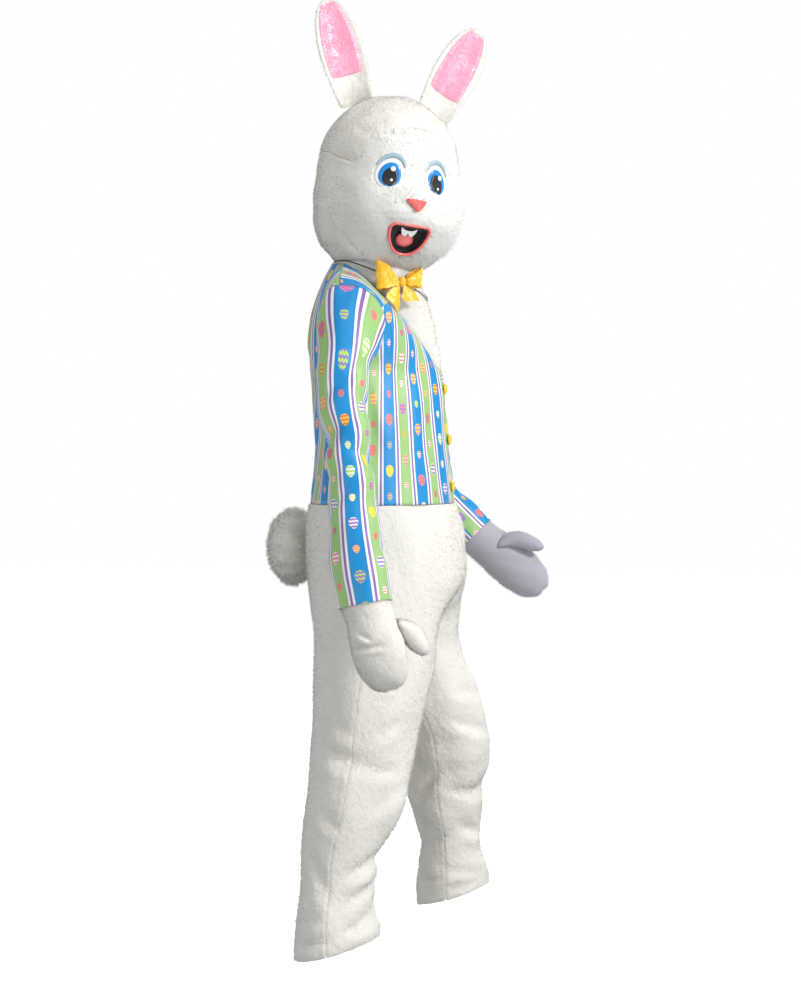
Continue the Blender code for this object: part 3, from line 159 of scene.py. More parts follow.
SHOULDER = Curve((-0.085, 0.038, 0.028), (-0.150, 0.031, 0.003), (-0.200, 0.020, -0.026))
SIDE = Curve(
    (-0.200, -0.024, -0.455), (-0.198, -0.020, -0.360), (-0.193, -0.012, -0.270),
    (-0.182, -0.005, -0.190),
)
ARMHOLE_FRONT = Curve(
    (-0.182, -0.005, -0.190), (-0.173, -0.048, -0.158), (-0.172, -0.067, -0.105),
    (-0.184, -0.054, -0.057), (-0.196, -0.020, -0.031), (-0.200, 0.020, -0.026),
)
ARMHOLE_BACK = Curve(
    (-0.182, -0.005, -0.190), (-0.172, 0.040, -0.158), (-0.170, 0.062, -0.105),
    (-0.181, 0.060, -0.060), (-0.194, 0.044, -0.034), (-0.200, 0.020, -0.026),
)
LOW_ROWS = 5
HIGH_ROWS = 6
FRONT_COLUMNS = 7
NECK_COLUMNS = 4
SPLIT = LOW_ROWS / (LOW_ROWS + HIGH_ROWS)
BACK_SPLIT = NECK_COLUMNS / (NECK_COLUMNS + FRONT_COLUMNS)

# Soft folds: place (u, v), direction in degrees, half length and half width in u and v, depth
FRONT_FOLDS = (
    (0.80, 0.66, 68, 0.30, 0.070, 0.007),
    (0.55, 0.30, 84, 0.30, 0.070, 0.005),
    (0.88, 0.22, 96, 0.26, 0.070, 0.006),
    (0.25, 0.16, 86, 0.18, 0.060, 0.004),
)
BACK_FOLDS = (
    (0.86, 0.58, 72, 0.30, 0.060, 0.007),
    (0.45, 0.30, 92, 0.34, 0.060, 0.006),
    (0.70, 0.15, 86, 0.22, 0.050, 0.005),
    (0.18, 0.12, 94, 0.20, 0.050, 0.004),
)


def fold_depth(folds, u, v):
    """Depth of the soft troughs at that place on a panel, without its very edges."""
    total = 0.0
    for place_u, place_v, degrees, length, width, depth in folds:
        turn = math.radians(degrees)
        across_u = u - place_u
        across_v = v - place_v
        along = across_u * math.cos(turn) + across_v * math.sin(turn)
        beside = -across_u * math.sin(turn) + across_v * math.cos(turn)
        total += depth * math.exp(-(along / length) ** 2 - (beside / width) ** 2)
    fade = math.sin(math.pi * min(max(u, 0.0), 1.0)) * math.sin(math.pi * min(max(v, 0.0), 1.0))
    return total * min(1.0, 2.5 * max(fade, 0.0))


def joined(first, second, split, t):
    """Two curves end to end, the first from 0 to split."""
    if t <= split:
        return first.at(t / split)
    return second.at((t - split) / (1 - split))


def waist_point(u, front):
    """The right half of the waist ring, from the centre line (0) to the side (1)."""
    row = HIP.at(WAIST_Z)
    turn = u * math.pi / 2
    way = -1 if front else 1
    return Vector((
        -row.half_width * math.sin(turn),
        row.centre_y + way * row.half_depth * math.cos(turn),
        WAIST_Z,
    ))


def patch(bottom, top, inner, outer, u, v):
    """A Coons patch between four edge curves."""
    ruled_v = inner(v) * (1 - u) + outer(v) * u
    ruled_u = bottom(u) * (1 - v) + top(u) * v
    corners = (
        (bottom(0) * (1 - u) + bottom(1) * u) * (1 - v)
        + (top(0) * (1 - u) + top(1) * u) * v
    )
    return ruled_v + ruled_u - corners


def torso_inward(point):
    """From the bodice's cloth toward the middle of the chest, kept on the point's own side."""
    row = HIP.at(WAIST_Z)
    rise = ease(-0.170, 0.030, point.z)
    aim = Vector((
        point.x * (0.25 + 0.55 * rise),
        row.centre_y + 0.020 + 0.020 * rise,
        point.z - 0.010 - 0.110 * rise,
    ))
    return (aim - point).normalized()


def front_point(u, v):
    """The right front, u from the centre line and the V edge to the side and the armhole."""
    base = patch(
        lambda s: waist_point(s, True),
        lambda s: SHOULDER.at(s),
        lambda t: joined(CENTRE_FRONT, V_EDGE, SPLIT, t),
        lambda t: joined(SIDE, ARMHOLE_FRONT, SPLIT, t),
        u, v,
    )
    return base + torso_inward(base) * fold_depth(FRONT_FOLDS, u, v)


def back_point(u, v):
    """The right back, u from the centre line to the side and the armhole."""
    base = patch(
        lambda s: waist_point(s, False),
        lambda s: joined(BACK_NECK, SHOULDER, BACK_SPLIT, s),
        lambda t: joined(CENTRE_BACK, UPPER_BACK, SPLIT, t),
        lambda t: joined(SIDE, ARMHOLE_BACK, SPLIT, t),
        u, v,
    )
    return base + torso_inward(base) * fold_depth(BACK_FOLDS, u, v)


def left_of(function):
    """The same panel on the wearer's left."""
    return lambda u, v: mirrored(function(u, v))


# Sleeves: from the armhole loop through rings round a path
RIGHT_SLEEVE = Table(
    "t x y z half_in half_front",
    (0.00, -0.186, -0.003, -0.105, 0.050, 0.060),
    (0.16, -0.247, -0.003, -0.170, 0.046, 0.051),
    (0.25, -0.263, -0.001, -0.233, 0.047, 0.050),
    (0.38, -0.277, -0.014, -0.304, 0.043, 0.045),
    (0.50, -0.288, -0.024, -0.366, 0.042, 0.043),
    (0.62, -0.298, -0.031, -0.430, 0.043, 0.046),
    (0.75, -0.307, -0.037, -0.497, 0.045, 0.049),
    (0.87, -0.315, -0.047, -0.562, 0.047, 0.054),
    (1.00, -0.323, -0.062, -0.636, 0.048, 0.052),
)
LEFT_SLEEVE = Table(
    "t x y z half_in half_front",
    (0.00, 0.186, -0.003, -0.105, 0.050, 0.060),
    (0.16, 0.247, 0.006, -0.168, 0.046, 0.051),
    (0.29, 0.276, 0.018, -0.235, 0.047, 0.049),
    (0.42, 0.298, 0.024, -0.300, 0.046, 0.046),
    (0.54, 0.311, 0.006, -0.357, 0.045, 0.046),
    (0.66, 0.319, -0.034, -0.407, 0.045, 0.046),
    (0.83, 0.325, -0.096, -0.470, 0.046, 0.048),
    (1.00, 0.330, -0.160, -0.535, 0.046, 0.048),
)
# Sleeve folds: place along, place around in degrees, half length, half width, turn, depth
SLEEVE_FOLDS = (
    (0.22, 150, 70, 0.030, 0.10, 0.007),
    (0.33, 60, 80, 0.028, -0.08, 0.006),
    (0.43, 250, 90, 0.026, 0.05, 0.007),
    (0.50, 110, 80, 0.026, -0.05, 0.006),
    (0.64, 200, 70, 0.030, 0.12, 0.004),
    (0.84, 80, 60, 0.034, -0.12, 0.004),
)


def sleeve_fold(t, degrees):
    total = 0.0
    for place, around, length, width, turn, depth in SLEEVE_FOLDS:
        apart = (degrees - around + 180) % 360 - 180
        beside = t - place - turn * apart / 100
        total += depth * math.exp(-(apart / length) ** 2 - (beside / width) ** 2)
    return total * ease(0.0, 0.12, t) * ease(1.0, 0.93, t)


def sleeve_frame(table, side, t):
    """Centre, direction, way toward the body and way to the front at t along the sleeve."""
    row = table.at(t)
    centre = Vector((row.x, row.y, row.z))
    small = 0.02
    a = table.at(max(t - small, 0.0))
    b = table.at(min(t + small, 1.0))
    along = Vector((b.x - a.x, b.y - a.y, b.z - a.z)).normalized()
    body = Vector((-side, 0.0, 0.0))
    body = (body - along * body.dot(along)).normalized()
    front = along.cross(body) * -side
    return row, centre, along, body, front


def armhole_point(side, around):
    """The armhole loop, 0 at the armpit, a half turn at the shoulder tip, front first."""
    around = around % 1.0
    if around <= 0.5:
        point = ARMHOLE_FRONT.at(around * 2)
    else:
        point = ARMHOLE_BACK.at((1.0 - around) * 2)
    return point if side < 0 else mirrored(point)


def sleeve_surface(table, side):
    cap = 0.012

    def surface(u, v):
        row, centre, along, body, front = sleeve_frame(table, side, v)
        turn = 2 * math.pi * u
        depth = sleeve_fold(v, math.degrees(turn))
        ring = (
            centre
            + body * (row.half_in - depth) * math.cos(turn)
            + front * (row.half_front - depth) * math.sin(turn)
        )
        k = ease(0.0, 0.20, v)
        loop = armhole_point(side, u) + along * v * 0.55
        crown = Vector((side, 0.0, 0.0)) * cap * math.sin(math.pi * k) * (1 - math.cos(turn)) / 2
        return loop * (1 - k) + ring * k + crown

    return surface


def sleeve_inward(table):
    centres = [Vector((r.x, r.y, r.z)) for r in (table.at(t) for t in steps(40))]

    def inward(point):
        aim = min(centres, key=lambda c: (c - point).length)
        return (aim - point).normalized()

    return inward


# Legs
RIGHT_LEG = Table(
    "z out centre_y half_width half_depth",
    (-0.770, 0.1190, -0.035, 0.118, 0.125),
    (-0.840, 0.1380, -0.028, 0.114, 0.112),
    (-0.912, 0.1530, -0.019, 0.106, 0.106),
    (-1.020, 0.1780, -0.009, 0.100, 0.102),
    (-1.083, 0.1920, 0.005, 0.091, 0.090),
    (-1.121, 0.2000, 0.017, 0.083, 0.079),
    (-1.177, 0.2100, 0.016, 0.083, 0.081),
    (-1.223, 0.2170, 0.022, 0.080, 0.075),
    (-1.278, 0.2240, 0.018, 0.085, 0.085),
    (-1.330, 0.2290, 0.018, 0.082, 0.082),
)
LEFT_LEG = Table(
    "z out centre_y half_width half_depth",
    (-0.770, 0.1190, -0.035, 0.118, 0.125),
    (-0.853, 0.1400, -0.082, 0.114, 0.118),
    (-0.918, 0.1550, -0.108, 0.106, 0.109),
    (-1.006, 0.1760, -0.121, 0.100, 0.097),
    (-1.057, 0.1870, -0.115, 0.092, 0.084),
    (-1.116, 0.2000, -0.122, 0.086, 0.080),
    (-1.194, 0.2130, -0.126, 0.078, 0.066),
    (-1.232, 0.2190, -0.126, 0.080, 0.075),
    (-1.272, 0.2240, -0.128, 0.084, 0.081),
    (-1.330, 0.2290, -0.124, 0.080, 0.077),
)


# Materials
GREEN = (0.30, 0.51, 0.19)
BLUE = (0.004, 0.24, 0.56)
WHITE = (0.78, 0.78, 0.83)
VIOLET = (0.22, 0.12, 0.38)
REPEAT = 0.082
EGG_PITCH = 0.050


class Nodes:
    """Short calls for a node tree."""

    def __init__(self, tree):
        self.tree = tree

    def add(self, kind, values=(), **settings):
        node = self.tree.nodes.new(kind)
        for name, value in settings.items():
            setattr(node, name, value)
        for socket, value in dict(values).items():
            self.put(node.inputs[socket], value)
        return node

    def put(self, socket, value):
        if isinstance(value, bpy.types.NodeSocket):
            self.tree.links.new(value, socket)
        elif isinstance(value, tuple) and len(value) == 3 and socket.type == "RGBA":
            socket.default_value = (*value, 1.0)
        else:
            socket.default_value = value

    def math(self, operation, *values):
        node = self.add("ShaderNodeMath", operation=operation)
        for socket, value in zip(node.inputs, values):
            self.put(socket, value)
        return node.outputs[0]

    def mix(self, factor, first, second, blend="MIX"):
        node = self.add("ShaderNodeMix", data_type="RGBA", blend_type=blend)
        self.put(node.inputs[0], factor)
        self.put(node.inputs[6], first)
        self.put(node.inputs[7], second)
        return node.outputs[2]

    def bands(self, factor, stops):
        """A ramp with hard edges: (start, colour) from left to right."""
        node = self.add("ShaderNodeValToRGB", {"Fac": factor})
        ramp = node.color_ramp
        ramp.interpolation = "CONSTANT"
        for place, (start, colour) in enumerate(stops):
            stop = ramp.elements[place] if place < 2 else ramp.elements.new(start)
            stop.position = start
            stop.color = (*colour, 1.0)
        return node.outputs[0]

    def noise(self, vector, scale, detail=3.0):
        node = self.add("ShaderNodeTexNoise", {"Vector": vector, "Scale": scale, "Detail": detail})
        return node.outputs[0]

    def place(self):
        return self.add("ShaderNodeTexCoord").outputs["Object"]


def new_material(name, roughness, **shine):
    """A material and its shader; the shine is the same all over and is set on its sockets."""
    made = bpy.data.materials.new(name)
    made.use_nodes = True
    nodes = Nodes(made.node_tree)
    shader = made.node_tree.nodes["Principled BSDF"]
    shader.inputs["Roughness"].default_value = roughness
    for socket, value in shine.items():
        shader.inputs[socket.replace("_", " ")].default_value = value
    return made, nodes, shader


def bump(nodes, shader, height, distance, strength=1.0):
    node = nodes.add("ShaderNodeBump", {"Height": height, "Distance": distance, "Strength": strength})
    nodes.put(shader.inputs["Normal"], node.outputs[0])


def easter_egg(nodes, across, along, cell, half_width, colours):
    """One printed egg: a mask and a colour, from its own centre and a number for its colours."""
    half_height = half_width * 1.32
    tall = nodes.math("DIVIDE", along, half_height)
    taper = nodes.math("MULTIPLY_ADD", tall, 0.22, 1.0)
    wide = nodes.math("MULTIPLY", nodes.math("DIVIDE", across, half_width), taper)
    reach = nodes.math("ADD", nodes.math("MULTIPLY", wide, wide), nodes.math("MULTIPLY", tall, tall))
    mask = nodes.math("LESS_THAN", reach, 1.0)
    wave = nodes.math("SINE", nodes.math("MULTIPLY", across, 2 * math.pi / (half_width * 0.62)))
    lifted = nodes.math("MULTIPLY_ADD", wave, 0.10, tall)
    stripe = nodes.math("FRACT", nodes.math("MULTIPLY_ADD", lifted, 1.55, 10.25))
    pick = nodes.add("ShaderNodeTexWhiteNoise", {"W": cell}, noise_dimensions="1D").outputs[0]
    shift = nodes.math("FRACT", nodes.math("MULTIPLY_ADD", pick, 3.7, 0.31))
    shell = nodes.bands(pick, colours)
    trim = nodes.bands(shift, colours)
    return mask, nodes.mix(nodes.math("GREATER_THAN", stripe, 0.55), shell, trim)


EGG_COLOURS = (
    (0.00, (0.80, 0.17, 0.06)), (0.18, (0.86, 0.62, 0.05)), (0.36, (0.80, 0.20, 0.32)),
    (0.54, (0.30, 0.16, 0.50)), (0.70, (0.84, 0.84, 0.84)), (0.86, (0.42, 0.66, 0.14)),
)


def stripe_cloth():
    """Printed satin: the cloth's own UV map gives metres across the stripes and along them."""
    made, nodes, shader = new_material(
        "stripe satin", 0.40, Sheen_Weight=0.04, Sheen_Roughness=0.4, Specular_IOR_Level=0.40)
    uv = nodes.add("ShaderNodeUVMap", uv_map="cut").outputs[0]
    split = nodes.add("ShaderNodeSeparateXYZ", {"Vector": uv})
    across, along = split.outputs[0], split.outputs[1]
    turns = nodes.math("DIVIDE", across, REPEAT)
    place = nodes.math("FRACT", turns)
    colour = nodes.bands(place, (
        (0.0, GREEN), (0.165, WHITE), (0.217, VIOLET), (0.271, WHITE), (0.323, BLUE),
        (0.677, WHITE), (0.729, VIOLET), (0.783, WHITE), (0.835, GREEN)))
    dash = nodes.math("GREATER_THAN", nodes.math("SINE", nodes.math("MULTIPLY", along, 1700.0)), 0.0)
    for edge, thread in ((0.142, (0.22, 0.30, 0.05)), (0.858, (0.22, 0.30, 0.05)),
                         (0.345, (0.004, 0.16, 0.42)), (0.655, (0.004, 0.16, 0.42))):
        near = nodes.math("COMPARE", place, edge, 0.0075)
        colour = nodes.mix(nodes.math("MULTIPLY", near, dash), colour, thread)
    column = nodes.math("FLOOR", turns)
    for middle, start in ((0.5, 0.0), (0.0, 0.43)):
        turned = nodes.math("FRACT", nodes.math("ADD", place, 0.5 - middle))
        aside = nodes.math("MULTIPLY", nodes.math("SUBTRACT", turned, 0.5), REPEAT)
        sheet_column = nodes.math("FLOOR", nodes.math("ADD", turns, 0.5 - middle)) if middle == 0 else column
        run = nodes.math("DIVIDE", along, EGG_PITCH)
        run = nodes.math("ADD", run, nodes.math("MULTIPLY_ADD", sheet_column, 0.37, start))
        number = nodes.math("FLOOR", run)
        within = nodes.math("MULTIPLY", nodes.math("SUBTRACT", nodes.math("FRACT", run), 0.5), EGG_PITCH)
        cell = nodes.math("ADD", number, nodes.math("MULTIPLY_ADD", sheet_column, 17.3, start * 31))
        even = nodes.math("COMPARE", nodes.math("PINGPONG", number, 1.0), 0.0, 0.25)
        big, big_colour = easter_egg(nodes, aside, within, cell, 0.0086, EGG_COLOURS)
        small, small_colour = easter_egg(
            nodes, aside, within, nodes.math("ADD", cell, 0.5), 0.0056, EGG_COLOURS)
        colour = nodes.mix(nodes.math("MULTIPLY", big, even), colour, big_colour)
        odd = nodes.math("SUBTRACT", 1.0, even)
        colour = nodes.mix(nodes.math("MULTIPLY", small, odd), colour, small_colour)
    where = nodes.place()
    # Painted shade: the print is made slightly darker, in places a little lighter, in soft patches about 7
    # cm across, laid at random to stand in for the shade of the satin's folds.
    patchy_shade = nodes.noise(where, 14.0)
    shade = nodes.math("MULTIPLY_ADD", patchy_shade, 0.16, 0.91)
    tone = nodes.add("ShaderNodeCombineColor", {"Red": shade, "Green": shade, "Blue": shade})
    colour = nodes.mix(1.0, colour, tone.outputs[0], "MULTIPLY")
    nodes.put(shader.inputs["Base Color"], colour)
    rough = nodes.math("MULTIPLY_ADD", nodes.noise(where, 60.0), 0.14, 0.34)
    nodes.put(shader.inputs["Roughness"], rough)
    weave = nodes.noise(where, 900.0, 1.0)
    drawn_out = nodes.add("ShaderNodeMapping", {"Vector": where, "Scale": (1.0, 1.0, 0.45)}).outputs[0]
    creases = nodes.noise(drawn_out, 20.0, 2.0)
    height = nodes.math("MULTIPLY_ADD", creases, 1.0, nodes.math("MULTIPLY", weave, 0.05))
    bump(nodes, shader, height, 0.0085, 0.8)
    return made


def pile_cloth(name, colour, mottle_and_tuft_shade, depth, scale, roughness=0.95, sheen=0.10):
    """Plush or fur: matt, with a nap and darker in soft blotches; on the fur hair these are painted shade
    between its tufts, on the other pile they are its own uneven tone.
    """
    made, nodes, shader = new_material(
        name, roughness, Sheen_Weight=sheen, Sheen_Roughness=0.6, Specular_IOR_Level=0.2)
    where = nodes.place()
    cloud = nodes.noise(where, scale, 5.0)
    darker = tuple(c * (1 - mottle_and_tuft_shade) for c in colour)
    nodes.put(shader.inputs["Base Color"], nodes.mix(cloud, darker, colour))
    tuft = nodes.math("MULTIPLY_ADD", nodes.noise(where, 420.0, 3.0), 0.5, nodes.noise(where, 90.0, 3.0))
    puckers = nodes.math("MULTIPLY", nodes.noise(where, 17.0, 2.0), 1.6)
    bump(nodes, shader, nodes.math("ADD", tuft, puckers), depth, 0.9)
    return made


def satin_cloth(name, colour, deep, roughness=0.33):
    made, nodes, shader = new_material(
        name, roughness, Sheen_Weight=0.05, Sheen_Roughness=0.35, Specular_IOR_Level=0.6,
        Anisotropic=0.4)
    where = nodes.place()
    nodes.put(shader.inputs["Base Color"], nodes.mix(nodes.noise(where, 26.0, 3.0), deep, colour))
    height = nodes.math(
        "MULTIPLY_ADD", nodes.noise(where, 34.0, 3.0), 1.0,
        nodes.math("MULTIPLY", nodes.noise(where, 1100.0, 1.0), 0.05))
    bump(nodes, shader, height, 0.0060, 0.8)
    return made


def moulded(name, colour, deep, roughness=0.35):
    made, nodes, shader = new_material(name, roughness, Specular_IOR_Level=0.5, Coat_Weight=0.15)
    where = nodes.place()
    nodes.put(shader.inputs["Base Color"], nodes.mix(nodes.noise(where, 40.0, 4.0), deep, colour))
    nodes.put(shader.inputs["Roughness"], nodes.math(
        "MULTIPLY_ADD", nodes.noise(where, 90.0), 0.16, roughness - 0.08))
    bump(nodes, shader, nodes.noise(where, 160.0), 0.0004, 0.4)
    return made


def placed(name, data):
    """A new object in the scene."""
    made = bpy.data.objects.new(name, data)
    bpy.context.scene.collection.objects.link(made)
    return made


def read_rows(items, key, kind=float):
    """That value of every item, three numbers to a row."""
    values = np.empty(len(items) * 3, dtype=kind)
    items.foreach_get(key, values)
    return values.reshape(-1, 3)


# Sheets with a cut: a grid laid into the panel's surface, with its place on the cloth as UV
def laid_sheet(name, surface, cut_place, columns, rows, look, tube=False):
    """cut_place(u, v, point) gives metres across the stripes and along them."""
    bm = bmesh.new()
    bmesh.ops.create_grid(bm, x_segments=columns, y_segments=rows, size=0.5)
    layer = bm.loops.layers.uv.new("cut")
    places = {vert: (vert.co.x + 0.5, vert.co.y + 0.5) for vert in bm.verts}
    for vert, (u, v) in places.items():
        vert.co = surface(u, v)
    for face in bm.faces:
        middle = [sum(places[vert][k] for vert in face.verts) / len(face.verts) for k in (0, 1)]
        for loop in face.loops:
            u, v = places[loop.vert]
            loop[layer].uv = cut_place(u, v, loop.vert.co, middle)
    if tube:
        bmesh.ops.remove_doubles(bm, verts=bm.verts[:], dist=0.00005)
    mesh = bpy.data.meshes.new(name)
    bm.to_mesh(mesh)
    bm.free()
    mesh.materials.append(look)
    piece = placed(name, mesh)
    return piece


def given_thickness(piece, thickness, inward):
    """The wall's inner side lies toward the hollow."""
    mesh = piece.data
    middle = mesh.polygons[len(mesh.polygons) // 2]
    if middle.normal.dot(inward(middle.center)) > 0:
        mesh.flip_normals()
    solid = piece.modifiers.new("wall", "SOLIDIFY")
    solid.thickness = thickness
    solid.offset = -1
    solid.use_even_offset = False
    mesh.shade_smooth()


def pulled_in(surface, amount):
    """The panel a hair inside its seams, so that its edges do not meet its neighbours'."""
    def inside(u, v):
        return surface(amount + u * (1 - 2 * amount), amount + v * (1 - 2 * amount))
    return inside


# Bodice and sleeves
TORSO_GIRTH = 0.173
CHEST_MIDDLE_Y = -0.024
CHEST_HALF_WIDTH = 0.200
CHEST_HALF_DEPTH = 0.145
YOKE_V = 0.78
YOKE_START = 0.0355
YOKE_WIDTH = 0.100
BACK_START = 0.041
SLEEVE_GIRTH = 0.287
SLEEVE_LENGTH = 0.550
BLUE_MIDDLE = 0.041
OUTER_SIDE_U = 0.467

RUMPLE_TOP = -0.10
TORSO_RUMPLE = 0.0030
SLEEVE_RUMPLE = 0.0016
ELBOW_RUMPLE = 0.0028
ELBOW_Z = -0.33
FOLD_STRETCH = np.array([1.0, 1.0, 0.40])
ROUND_STRETCH = np.array([0.55, 0.55, 1.15])


def torso_place(point):
    turn = math.atan2(abs(point.x) / CHEST_HALF_WIDTH, -(point.y - CHEST_MIDDLE_Y) / CHEST_HALF_DEPTH)
    return turn * TORSO_GIRTH, -point.z


def front_place(u, v, point, middle):
    if middle[1] > YOKE_V:
        return YOKE_START + u * YOKE_WIDTH, v * 0.30
    return torso_place(point)


def back_place(u, v, point, middle):
    turn = math.atan2(abs(point.x) / CHEST_HALF_WIDTH, (point.y - CHEST_MIDDLE_Y) / CHEST_HALF_DEPTH)
    return BACK_START + turn * TORSO_GIRTH, -point.z + 0.013


def sleeve_place(u, v, point, middle):
    return BLUE_MIDDLE + (u - OUTER_SIDE_U) * SLEEVE_GIRTH, v * SLEEVE_LENGTH + 0.021


def torso_rumple(points, normals):
    """Soft drawn-out folds, fading toward the shoulders and the waist."""
    out = points - np.array([0.0, CHEST_MIDDLE_Y, 0.0])
    out[:, 2] = 0.0
    out = out / np.linalg.norm(out, axis=1)[:, None]
    fade = np.clip((RUMPLE_TOP - points[:, 2]) / 0.08, 0, 1) * np.clip((points[:, 2] - WAIST_Z) / 0.05, 0, 1)
    wave = lumps(points * FOLD_STRETCH, 0.055, 21)
    return out * (TORSO_RUMPLE * wave * fade)[:, None]


def sleeve_rumple(table):
    """Folds that run round the arm, deepest at the elbow and fading toward both ends."""
    inward = sleeve_inward(table)

    def relief(points, normals):
        out = -np.array([tuple(Vector(inward(Vector(p))).normalized()) for p in points])
        reach = np.clip((np.abs(points[:, 0]) - 0.200) / 0.06, 0, 1)
        low = points[:, 2].min()
        fade = reach * np.clip((points[:, 2] - low) / 0.06, 0, 1)
        elbow = np.exp(-((points[:, 2] - ELBOW_Z) / 0.11) ** 2)
        wave = lumps(points * ROUND_STRETCH, 0.050, 23)
        return out * (wave * fade * (SLEEVE_RUMPLE + ELBOW_RUMPLE * elbow))[:, None]
    return relief


def dress_torso(look):
    for side, place in (("r", lambda f: f), ("l", left_of)):
        for part, panel, cut_place in (
                ("front", front_point, front_place), ("back", back_point, back_place)):
            surface = pulled_in(place(panel), 0.0012)
            name = "cloth_bodice_%s_%s" % (part, side)
            piece = laid_sheet(name, surface, cut_place, 42, 72, look)
            reshaped(piece, torso_rumple)
            given_thickness(piece, SATIN, torso_inward)
            worn(piece, "satin_stripe", "bodice_%s_%s" % (part, side))


def dress_sleeves(look):
    for side, table, way in (("r", RIGHT_SLEEVE, -1), ("l", LEFT_SLEEVE, 1)):
        base = sleeve_surface(table, way)

        def surface(u, v, base=base):
            return base(u, 0.003 + v * 0.995)

        piece = laid_sheet("cloth_sleeve_" + side, surface, sleeve_place, 72, 130, look, tube=True)
        reshaped(piece, sleeve_rumple(table))
        given_thickness(piece, SATIN, sleeve_inward(table))
        worn(piece, "satin_stripe", "sleeve_" + side)


def worn(piece, slot, *nodes):
    """The piece rides on the costume and stands for its solids; slot is not used."""
    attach(piece, "root")
    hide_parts(*nodes)
    return piece


RIM_ANGLE = math.radians(55)
RIM_CREASE = 0.8


# Plush and mouldings: the frame's own walls, merged, rounded and creased
def soft_copy(node, name, look, slot, levels=2, relief=None):
    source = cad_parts[node]
    bm = bmesh.new()
    bm.from_mesh(source.data)
    bmesh.ops.remove_doubles(bm, verts=bm.verts[:], dist=0.00003)
    bmesh.ops.join_triangles(
        bm, faces=bm.faces[:], angle_face_threshold=math.radians(30),
        angle_shape_threshold=math.radians(90))
    held = bm.edges.layers.float.new("crease_edge")
    for edge in bm.edges:
        if len(edge.link_faces) == 2 and edge.calc_face_angle(0.0) > RIM_ANGLE:
            edge[held] = RIM_CREASE
    mesh = bpy.data.meshes.new(name)
    bm.to_mesh(mesh)
    bm.free()
    piece = placed(name, mesh)
    smooth = piece.modifiers.new("round", "SUBSURF")
    smooth.levels = levels
    smooth.render_levels = levels
    bpy.context.view_layer.update()
    shown = piece.evaluated_get(bpy.context.evaluated_depsgraph_get())
    fine = bpy.data.meshes.new_from_object(shown)
    piece.modifiers.clear()
    piece.data = fine
    bpy.data.meshes.remove(mesh)
    fine.name = name
    fine.materials.clear()
    fine.materials.append(look)
    fine.shade_smooth()
    if relief:
        reshaped(piece, relief)
    return worn(piece, slot, node)


def reshaped(piece, relief):
    """relief(points, normals) gives how each point moves."""
    mesh = piece.data
    points = read_rows(mesh.vertices, "co")
    points = points + relief(points, read_rows(mesh.vertices, "normal"))
    mesh.vertices.foreach_set("co", points.ravel())
    mesh.update()


def trough(points, start, end, width):
    """1 along the line from start to end, fading over the width and toward its ends."""
    a = np.array(start)
    along = np.array(end) - a
    length = np.linalg.norm(along)
    t = (points - a) @ along / length ** 2
    foot = a + np.clip(t, 0, 1)[:, None] * along
    apart = np.linalg.norm(points - foot, axis=1)
    taper = np.sqrt(np.clip(np.sin(np.pi * np.clip(t, 0.02, 0.98)), 0, 1))
    return np.exp(-(apart / width) ** 2) * taper


def limb_centre(table, side, z):
    """The leg's own middle at those heights."""
    rows = table.rows
    heights = [row[0] for row in rows]
    x = np.interp(z, heights, [side * row[1] for row in rows])
    y = np.interp(z, heights, [row[2] for row in rows])
    return np.stack([x, y, z], axis=1)


# Creases as seen from the side: start (y, z), end (y, z), half width and depth
NEAR_LEG_CREASES = (
    ((-0.086, -1.238), (-0.012, -1.256), 0.008, 0.007),
    ((-0.090, -1.279), (-0.004, -1.300), 0.008, 0.007),
    ((0.010, -1.268), (0.078, -1.290), 0.009, 0.006),
    ((-0.105, -0.860), (-0.060, -0.905), 0.012, 0.006),
    ((0.040, -0.930), (-0.037, -0.944), 0.016, 0.013),
    ((-0.036, -0.951), (-0.099, -0.965), 0.010, 0.009),
    ((-0.013, -1.158), (-0.073, -1.122), 0.012, 0.011),
    ((0.061, -0.732), (0.015, -0.848), 0.012, 0.006),
    ((-0.020, -1.205), (-0.081, -1.162), 0.010, 0.011),
    ((-0.016, -1.261), (-0.082, -1.213), 0.010, 0.009),
    ((0.068, -1.107), (0.015, -1.206), 0.014, 0.006),
    ((0.026, -0.864), (-0.014, -0.891), 0.016, 0.006),
    ((-0.213, -0.528), (-0.228, -0.725), 0.016, 0.010),
    ((-0.154, -0.591), (-0.162, -0.895), 0.022, 0.009),
    ((0.065, -0.636), (0.030, -0.559), 0.016, 0.006),
    ((-0.063, -1.036), (-0.115, -0.988), 0.014, 0.006),
    ((-0.001, -1.066), (0.043, -1.035), 0.014, 0.006),
    ((0.072, -1.255), (0.030, -1.225), 0.010, 0.006),
)
FAR_LEG_CREASES = (
    ((-0.196, -1.262), (-0.130, -1.276), 0.008, 0.006),
    ((-0.070, -1.265), (-0.130, -1.250), 0.008, 0.006),
    ((-0.073, -1.082), (-0.118, -1.024), 0.012, 0.010),
    ((-0.075, -1.193), (-0.136, -1.159), 0.010, 0.009),
    ((-0.212, -1.177), (-0.162, -1.140), 0.012, 0.011),
    ((-0.229, -0.869), (-0.165, -0.840), 0.014, 0.009),
    ((-0.154, -0.907), (-0.223, -0.939), 0.012, 0.009),
    ((-0.099, -1.231), (-0.206, -1.247), 0.010, 0.006),
    ((-0.137, -1.057), (-0.220, -1.076), 0.012, 0.009),
    ((-0.133, -0.738), (-0.217, -0.794), 0.016, 0.006),
)
FAR_OUTER_CREASES = NEAR_LEG_CREASES[::2]
MASK_CREASES = (
    ((0.053, 0.246), (-0.034, 0.210), 0.006, 0.006),
    ((0.012, 0.304), (-0.047, 0.260), 0.008, 0.005),
    ((0.022, 0.280), (-0.034, 0.304), 0.008, 0.005),
    ((-0.088, 0.303), (-0.170, 0.283), 0.008, 0.005),
    ((0.069, 0.167), (0.059, 0.077), 0.012, 0.006),
    ((0.041, 0.091), (-0.014, 0.045), 0.012, 0.006),
)
